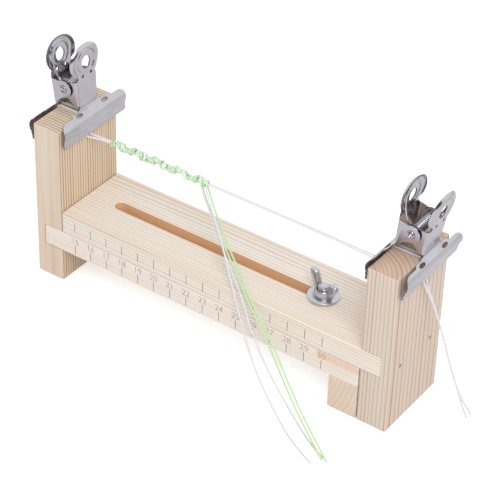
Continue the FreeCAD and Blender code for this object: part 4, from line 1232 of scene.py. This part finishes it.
def make_wing(way):
    """One wing: on each side its outline shrinks towards its middle, as thick as the profile says there."""
    loop = smooth_loop(WING_OUTLINE, WING_POINTS)
    middle = loop.mean(axis=0)
    steps = WING_PROFILE + [(share, -half) for share, half in WING_PROFILE[-2::-1]]
    share = np.array([step[0] for step in steps])[1:-1, None, None]
    half = np.array([step[1] for step in steps])[1:-1, None] * WING_HALF
    flat = middle + (loop[None] - middle) * share
    turned = math.radians(way)
    radius, side = flat[..., 0], half + 0 * flat[..., 0]
    x = radius * math.cos(turned) - side * math.sin(turned)
    y = radius * math.sin(turned) + side * math.cos(turned)
    return np.stack([x, y, flat[..., 1]], axis=-1)


def make_wing_nut():
    """Cast nut: a tapering collar with a sunk top and two upright wings with raised rims."""
    base = foot_of("clamp_bolt")
    base[2] = foot_of("wing_nut")[2]
    collar = revolve(NUT_COLLAR + NUT_COLLAR[:1], ROUND_SIDES)
    parts = [grid_mesh("collar", base + collar * MM, closed_round=True)]
    for way in WING_WAYS:
        parts.append(grid_mesh("wing", base + make_wing(way) * MM, closed_round=True, ends=True))
    finish_casting(join_meshes("cast_wing_nut", parts), CAST_SHARP, "nut", "wing_nut")


def make_washer():
    """Plain washer with edges rounded by its stamping."""
    spun = revolve(WASHER_PROFILE + WASHER_PROFILE[:1], 2 * ROUND_SIDES)
    mesh = grid_mesh("plain_washer", foot_of("clamp_washer") + spun * MM, closed_round=True)
    finish_casting(mesh, CAST_SHARP, "washer", "clamp_washer")


def square_block(base, width, height):
    """Square block that stands on a point."""
    x, y = np.array([(-1, -1), (1, -1), (1, 1), (-1, 1)]).T * width / 2
    places = np.stack([np.stack([x, y, 0 * x + rise], axis=1) for rise in (0, height)])
    faces = grid_faces(2, 4, True).reshape(-1, 4).tolist()
    faces += [[3, 2, 1, 0], [4, 5, 6, 7]]
    return new_mesh("block", base + places.reshape(-1, 3) * MM, faces)


def make_bolt():
    """Coach bolt: a mushroom head cut from a ball, a square neck, a plain shank and a chamfered end.

    The ball's radius is (head radius squared + head height squared) / (2 * head height).
    """
    base = foot_of("clamp_bolt") + (0, 0, HEAD_HEIGHT * MM)
    tip = (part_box("clamp_bolt")[1].z - base[2]) / MM
    ball = (HEAD_RADIUS ** 2 + HEAD_HEIGHT ** 2) / (2 * HEAD_HEIGHT)
    swing = np.linspace(0.04, math.asin(HEAD_RADIUS / ball), 14)
    profile = [(ball * math.sin(turn), ball - HEAD_HEIGHT - ball * math.cos(turn)) for turn in swing]
    profile += [(BOLT_RADIUS, 0.0)] + [(radius, tip + rise) for radius, rise in TIP_PROFILE]
    lathe = grid_mesh("lathe", base + revolve(profile, ROUND_SIDES) * MM, closed_round=True, ends=True)
    mesh = join_meshes("coach_bolt", [lathe, square_block(base, 2 * BOLT_RADIUS, NECK_HEIGHT)])
    mesh.shade_smooth()
    finish_casting(mesh, BOLT_SHARP, "jig", "clamp_bolt")


def make_thread():
    """Thread at the bolt's end: a round ridge that climbs one pitch a turn and sinks in at both ends."""
    foot = foot_of("clamp_bolt")
    bottom, top = (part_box("clamp_bolt")[1].z / MM + rise for rise in THREAD_RISE)
    turns = (top - bottom) / THREAD_PITCH
    share = np.linspace(0, 1, int(turns * THREAD_STEPS))
    fade = np.minimum(np.minimum(share, 1 - share) * THREAD_FADE, 1)
    radius = (THREAD_MIDDLE - THREAD_SINK * (1 - fade)) * MM
    angle = TURN * turns * share
    height = (bottom + (top - bottom) * share) * MM
    points = np.stack([foot[0] + radius * np.cos(angle), foot[1] + radius * np.sin(angle), height], axis=1)
    mesh = tube_mesh("bolt_thread", points, THREAD_THICK * MM, THREAD_SIDES)
    stand_in("bolt_thread", mesh, ZINC, "jig", "clamp_bolt")


make_washer()
make_bolt()
make_wing_nut()
make_thread()


# The knotted band

KNOT_PITCH = 2.4 * MM
KNOT_CORE = 1.0 * MM
KNOT_BULGE = 0.6 * MM
KNOT_LEAN = 25
KNOT_HOOK = 0.22
KNOT_SEED = 11
KNOT_STEP = 0.25 * MM
KNOT_SIDES = 10
KNOT_SLIPS = (0.25, 0.22 * MM, 0.3 * MM)
TWIN_OUT, TWIN_ALONG = 0.2 * MM, 0.9 * MM
KNOT_REACH = (0.7 * MM, 2.6 * MM)
BAND_WAVE = 0.85 * MM
BAND_WAVE_LENGTH = 13.0 * MM
BAND_ENDS = (1.2 * MM, 0.5 * MM)
BAND_TAPER = 4 * MM
BAND_SWELL, BAND_SWELL_TURN, BAND_LEAST = (0.95, 0.28), 1, 0.6


def strand_path(knots, low, high, start, twin, noise):
    """Path of one strand of the band, at numbers of knots from its start.

    At knot number t: angle = half a turn each knot plus the lean that each knot adds, radius = core +
    bulge * (1 + cos of a full turn each knot) / 2, and along X a step of one pitch each knot less a
    small wave, so each loop hooks back over the one before. The band's middle waves up and down along
    it, its radius swells twice a wave and tapers at both ends, and slow noise makes each knot different.
    """
    turn_slip, out_slip, along_slip = (size * drift for size, drift in zip(KNOT_SLIPS, noise))
    middle = (low + high) / 2
    turned = math.pi * (knots + start) + math.radians(KNOT_LEAN) * knots + turn_slip
    along = low.x + KNOT_PITCH * (knots + 0.25 - KNOT_HOOK * np.cos(TURN * knots))
    along = along + (twin - 0.5) * TWIN_ALONG + along_slip
    along = np.clip(along, low.x + BAND_ENDS[0], high.x - BAND_ENDS[1])
    wave = TURN * (along - low.x) / BAND_WAVE_LENGTH
    taper = smooth_step(0, BAND_TAPER, along - low.x) * smooth_step(0, BAND_TAPER, high.x - along)
    radius = KNOT_CORE + KNOT_BULGE * (1 + np.cos(TURN * knots)) / 2 + out_slip + twin * TWIN_OUT
    swell = BAND_SWELL[0] + BAND_SWELL[1] * np.sin(2 * wave + BAND_SWELL_TURN)
    radius = np.clip(radius * swell, *KNOT_REACH) * (BAND_LEAST + (1 - BAND_LEAST) * taper)
    y = middle.y + radius * np.cos(turned)
    z = middle.z + BAND_WAVE * np.sin(wave) * taper + radius * np.sin(turned)
    return np.stack([along, y, z], axis=1)


def make_knotted_band():
    """Knot two pairs of strands round the core cords in loose half knots that wind round as they go."""
    low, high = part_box("bracelet_braid")
    count = (high.x - low.x) / KNOT_PITCH
    draw = np.random.default_rng(KNOT_SEED)
    knots = np.arange(0, count, 0.02)
    anchors = np.arange(0, count + 2)
    pairs = (("green_knots", MINT_CORD, "green_cord"), ("white_knots", MILK_CORD, "white_cord"))
    for start, (name, material, slot) in enumerate(pairs):
        for twin in (0, 1):
            noise = [np.interp(knots, anchors, draw.normal(0, 1, len(anchors))) for _ in range(3)]
            points = even_points(strand_path(knots, low, high, start, twin, noise), KNOT_STEP)
            label = "%s_%s" % (name, "ab"[twin])
            mesh = tube_mesh(label, points, CORD_DIAMETER / 2, KNOT_SIDES, PLY_PITCH, PLY_DEPTH)
            stand_in(label, mesh, material, "jig", "bracelet_braid")


make_knotted_band()


# Ruler digits

MARK_FIRST = 16.715
MARK_PITCH = 10.0
FIRST_NUMBER = 15
MARK_COUNT = 16
DIGIT_SIZE = 3.6 / 0.7
DIGIT_THIN = -0.075
DIGIT_LEVEL = 26.6
DIGIT_LIFT = 0.02
BURN_SCALE = 1200


def burnt_wood():
    """Browned wood of the digits, paler in spots where the grain took less."""
    material, tree = new_material("burnt_digits")
    place = add_node(tree, "ShaderNodeTexCoord").outputs["Object"]
    cloud = sample_noise(tree, place, BURN_SCALE, 2, 0.6)
    add_surface(tree, ramp(tree, cloud, [(0.35, colour(138, 114, 98)), (0.65, colour(204, 182, 166))]), 0.8)
    return material


def flat_digits(number):
    """Return the corners and faces of a number's flat figures, centred on the origin."""
    text = bpy.data.curves.new("digits", "FONT")
    text.body = str(number)
    text.align_x = "CENTER"
    text.size = DIGIT_SIZE * MM
    text.resolution_u = 4
    text.offset = DIGIT_THIN * MM
    return read_curve(text)


def make_digits():
    """Write 15 to 30 over the lower board's marks, as thin flat figures on its front face."""
    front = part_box("lower_board")[0].y - DIGIT_LIFT * MM
    vertices, faces = [], []
    for number in range(MARK_COUNT):
        places, figure = flat_digits(FIRST_NUMBER + number)
        middle = (MARK_FIRST + number * MARK_PITCH) * MM
        faces += [[len(vertices) + corner for corner in face] for face in figure]
        across, up = places[:, 0] + middle, places[:, 1] + DIGIT_LEVEL * MM
        vertices += np.stack([across, np.full(len(places), front), up], axis=1).tolist()
    mesh = new_mesh("ruler_digits", vertices, faces)
    mesh.update()
    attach(add_piece("ruler_digits", mesh, burnt_wood()), "jig")


make_digits()


# Stage: floor, world, dark screen and lamp

FLOOR_HALF, FLOOR_LEVEL = 4.0, -0.0003
FLOOR_TONE, FLOOR_GLOW = (0.86, 0.86, 0.86), 0.5
WHITE = (1.0, 1.0, 1.0)
SOFT_LIGHT, SEEN_LIGHT = 0.72, 1.0
SCREEN_TONE = (0.012, 0.011, 0.013)
SCREEN_RADIUS, SCREEN_RISE, SCREEN_WAYS = 2.2, (0.25, 1.9), (-150, 10)


def add_plain(tree, kind, tone, strength=None):
    """Add a one coloured shader, with its strength if it glows, and return its output."""
    shader = add_node(tree, kind)
    shader.inputs["Color"].default_value = (*tone, 1)
    if strength is not None:
        shader.inputs["Strength"].default_value = strength
    return shader.outputs[0]


def ray_share(tree, *kinds):
    """Number that is 1 for rays of the named kinds and 0 for others."""
    light_path = add_node(tree, "ShaderNodeLightPath")
    share = light_path.outputs["Is %s Ray" % kinds[0]]
    for kind in kinds[1:]:
        share = math_node(tree, "MAXIMUM", share, light_path.outputs["Is %s Ray" % kind])
    return share


def close_mix(tree, share, first, second, kind):
    """Send a mix of two shaders to the output."""
    mix = add_node(tree, "ShaderNodeMixShader")
    for slot, source in enumerate((share, first, second)):
        join(tree, source, mix.inputs[slot])
    join(tree, mix.outputs[0], add_node(tree, kind).inputs["Surface"])


def make_floor():
    """Lay a wide white floor that goes fully white where no shadow falls."""
    material, tree = new_material("floor")
    cloth = add_plain(tree, "ShaderNodeBsdfDiffuse", FLOOR_TONE)
    both = add_node(tree, "ShaderNodeAddShader")
    join(tree, cloth, both.inputs[0])
    join(tree, add_plain(tree, "ShaderNodeEmission", WHITE, FLOOR_GLOW), both.inputs[1])
    seen = ray_share(tree, "Camera", "Transmission")
    close_mix(tree, seen, cloth, both.outputs[0], "ShaderNodeOutputMaterial")
    corners = [(x * FLOOR_HALF, y * FLOOR_HALF, 0) for x, y in ((-1, -1), (1, -1), (1, 1), (-1, 1))]
    mesh = new_mesh("floor", corners, [[0, 1, 2, 3]])
    mesh.materials.append(material)
    floor = link_object("floor", mesh)
    floor.location.z = FLOOR_LEVEL


def make_world():
    """Soft even light from all round, and white where the camera or a shiny face looks past the object."""
    world = bpy.data.worlds.new("studio")
    bpy.context.scene.world = world
    world.use_nodes = True
    tree = world.node_tree
    tree.nodes.clear()
    soft = add_plain(tree, "ShaderNodeBackground", WHITE, SOFT_LIGHT)
    white = add_plain(tree, "ShaderNodeBackground", WHITE, SEEN_LIGHT)
    seen = ray_share(tree, "Camera", "Glossy", "Transmission")
    close_mix(tree, seen, soft, white, "ShaderNodeOutputWorld")


def make_screen():
    """Hang a wide dark screen on the camera's side that only shiny faces see, as a studio does for metal."""
    material, tree = new_material("dark_screen")
    cloth = add_plain(tree, "ShaderNodeBsdfDiffuse", SCREEN_TONE)
    join(tree, cloth, add_node(tree, "ShaderNodeOutputMaterial").inputs["Surface"])
    turned, rise = np.meshgrid(np.radians(np.linspace(*SCREEN_WAYS, 41)), SCREEN_RISE)
    places = np.stack([SCREEN_RADIUS * np.cos(turned), SCREEN_RADIUS * np.sin(turned), rise], axis=-1)
    mesh = grid_mesh("dark_screen", places)
    mesh.materials.append(material)
    screen = link_object("dark_screen", mesh)
    for kind in ("camera", "diffuse", "shadow", "transmission", "volume_scatter"):
        setattr(screen, "visible_" + kind, False)


make_floor()
make_world()
make_screen()
make_lamp("key", place=(0.7, -0.6, 1.0), target=(0.1, 0, 0.04), size=0.6, power=6.5)
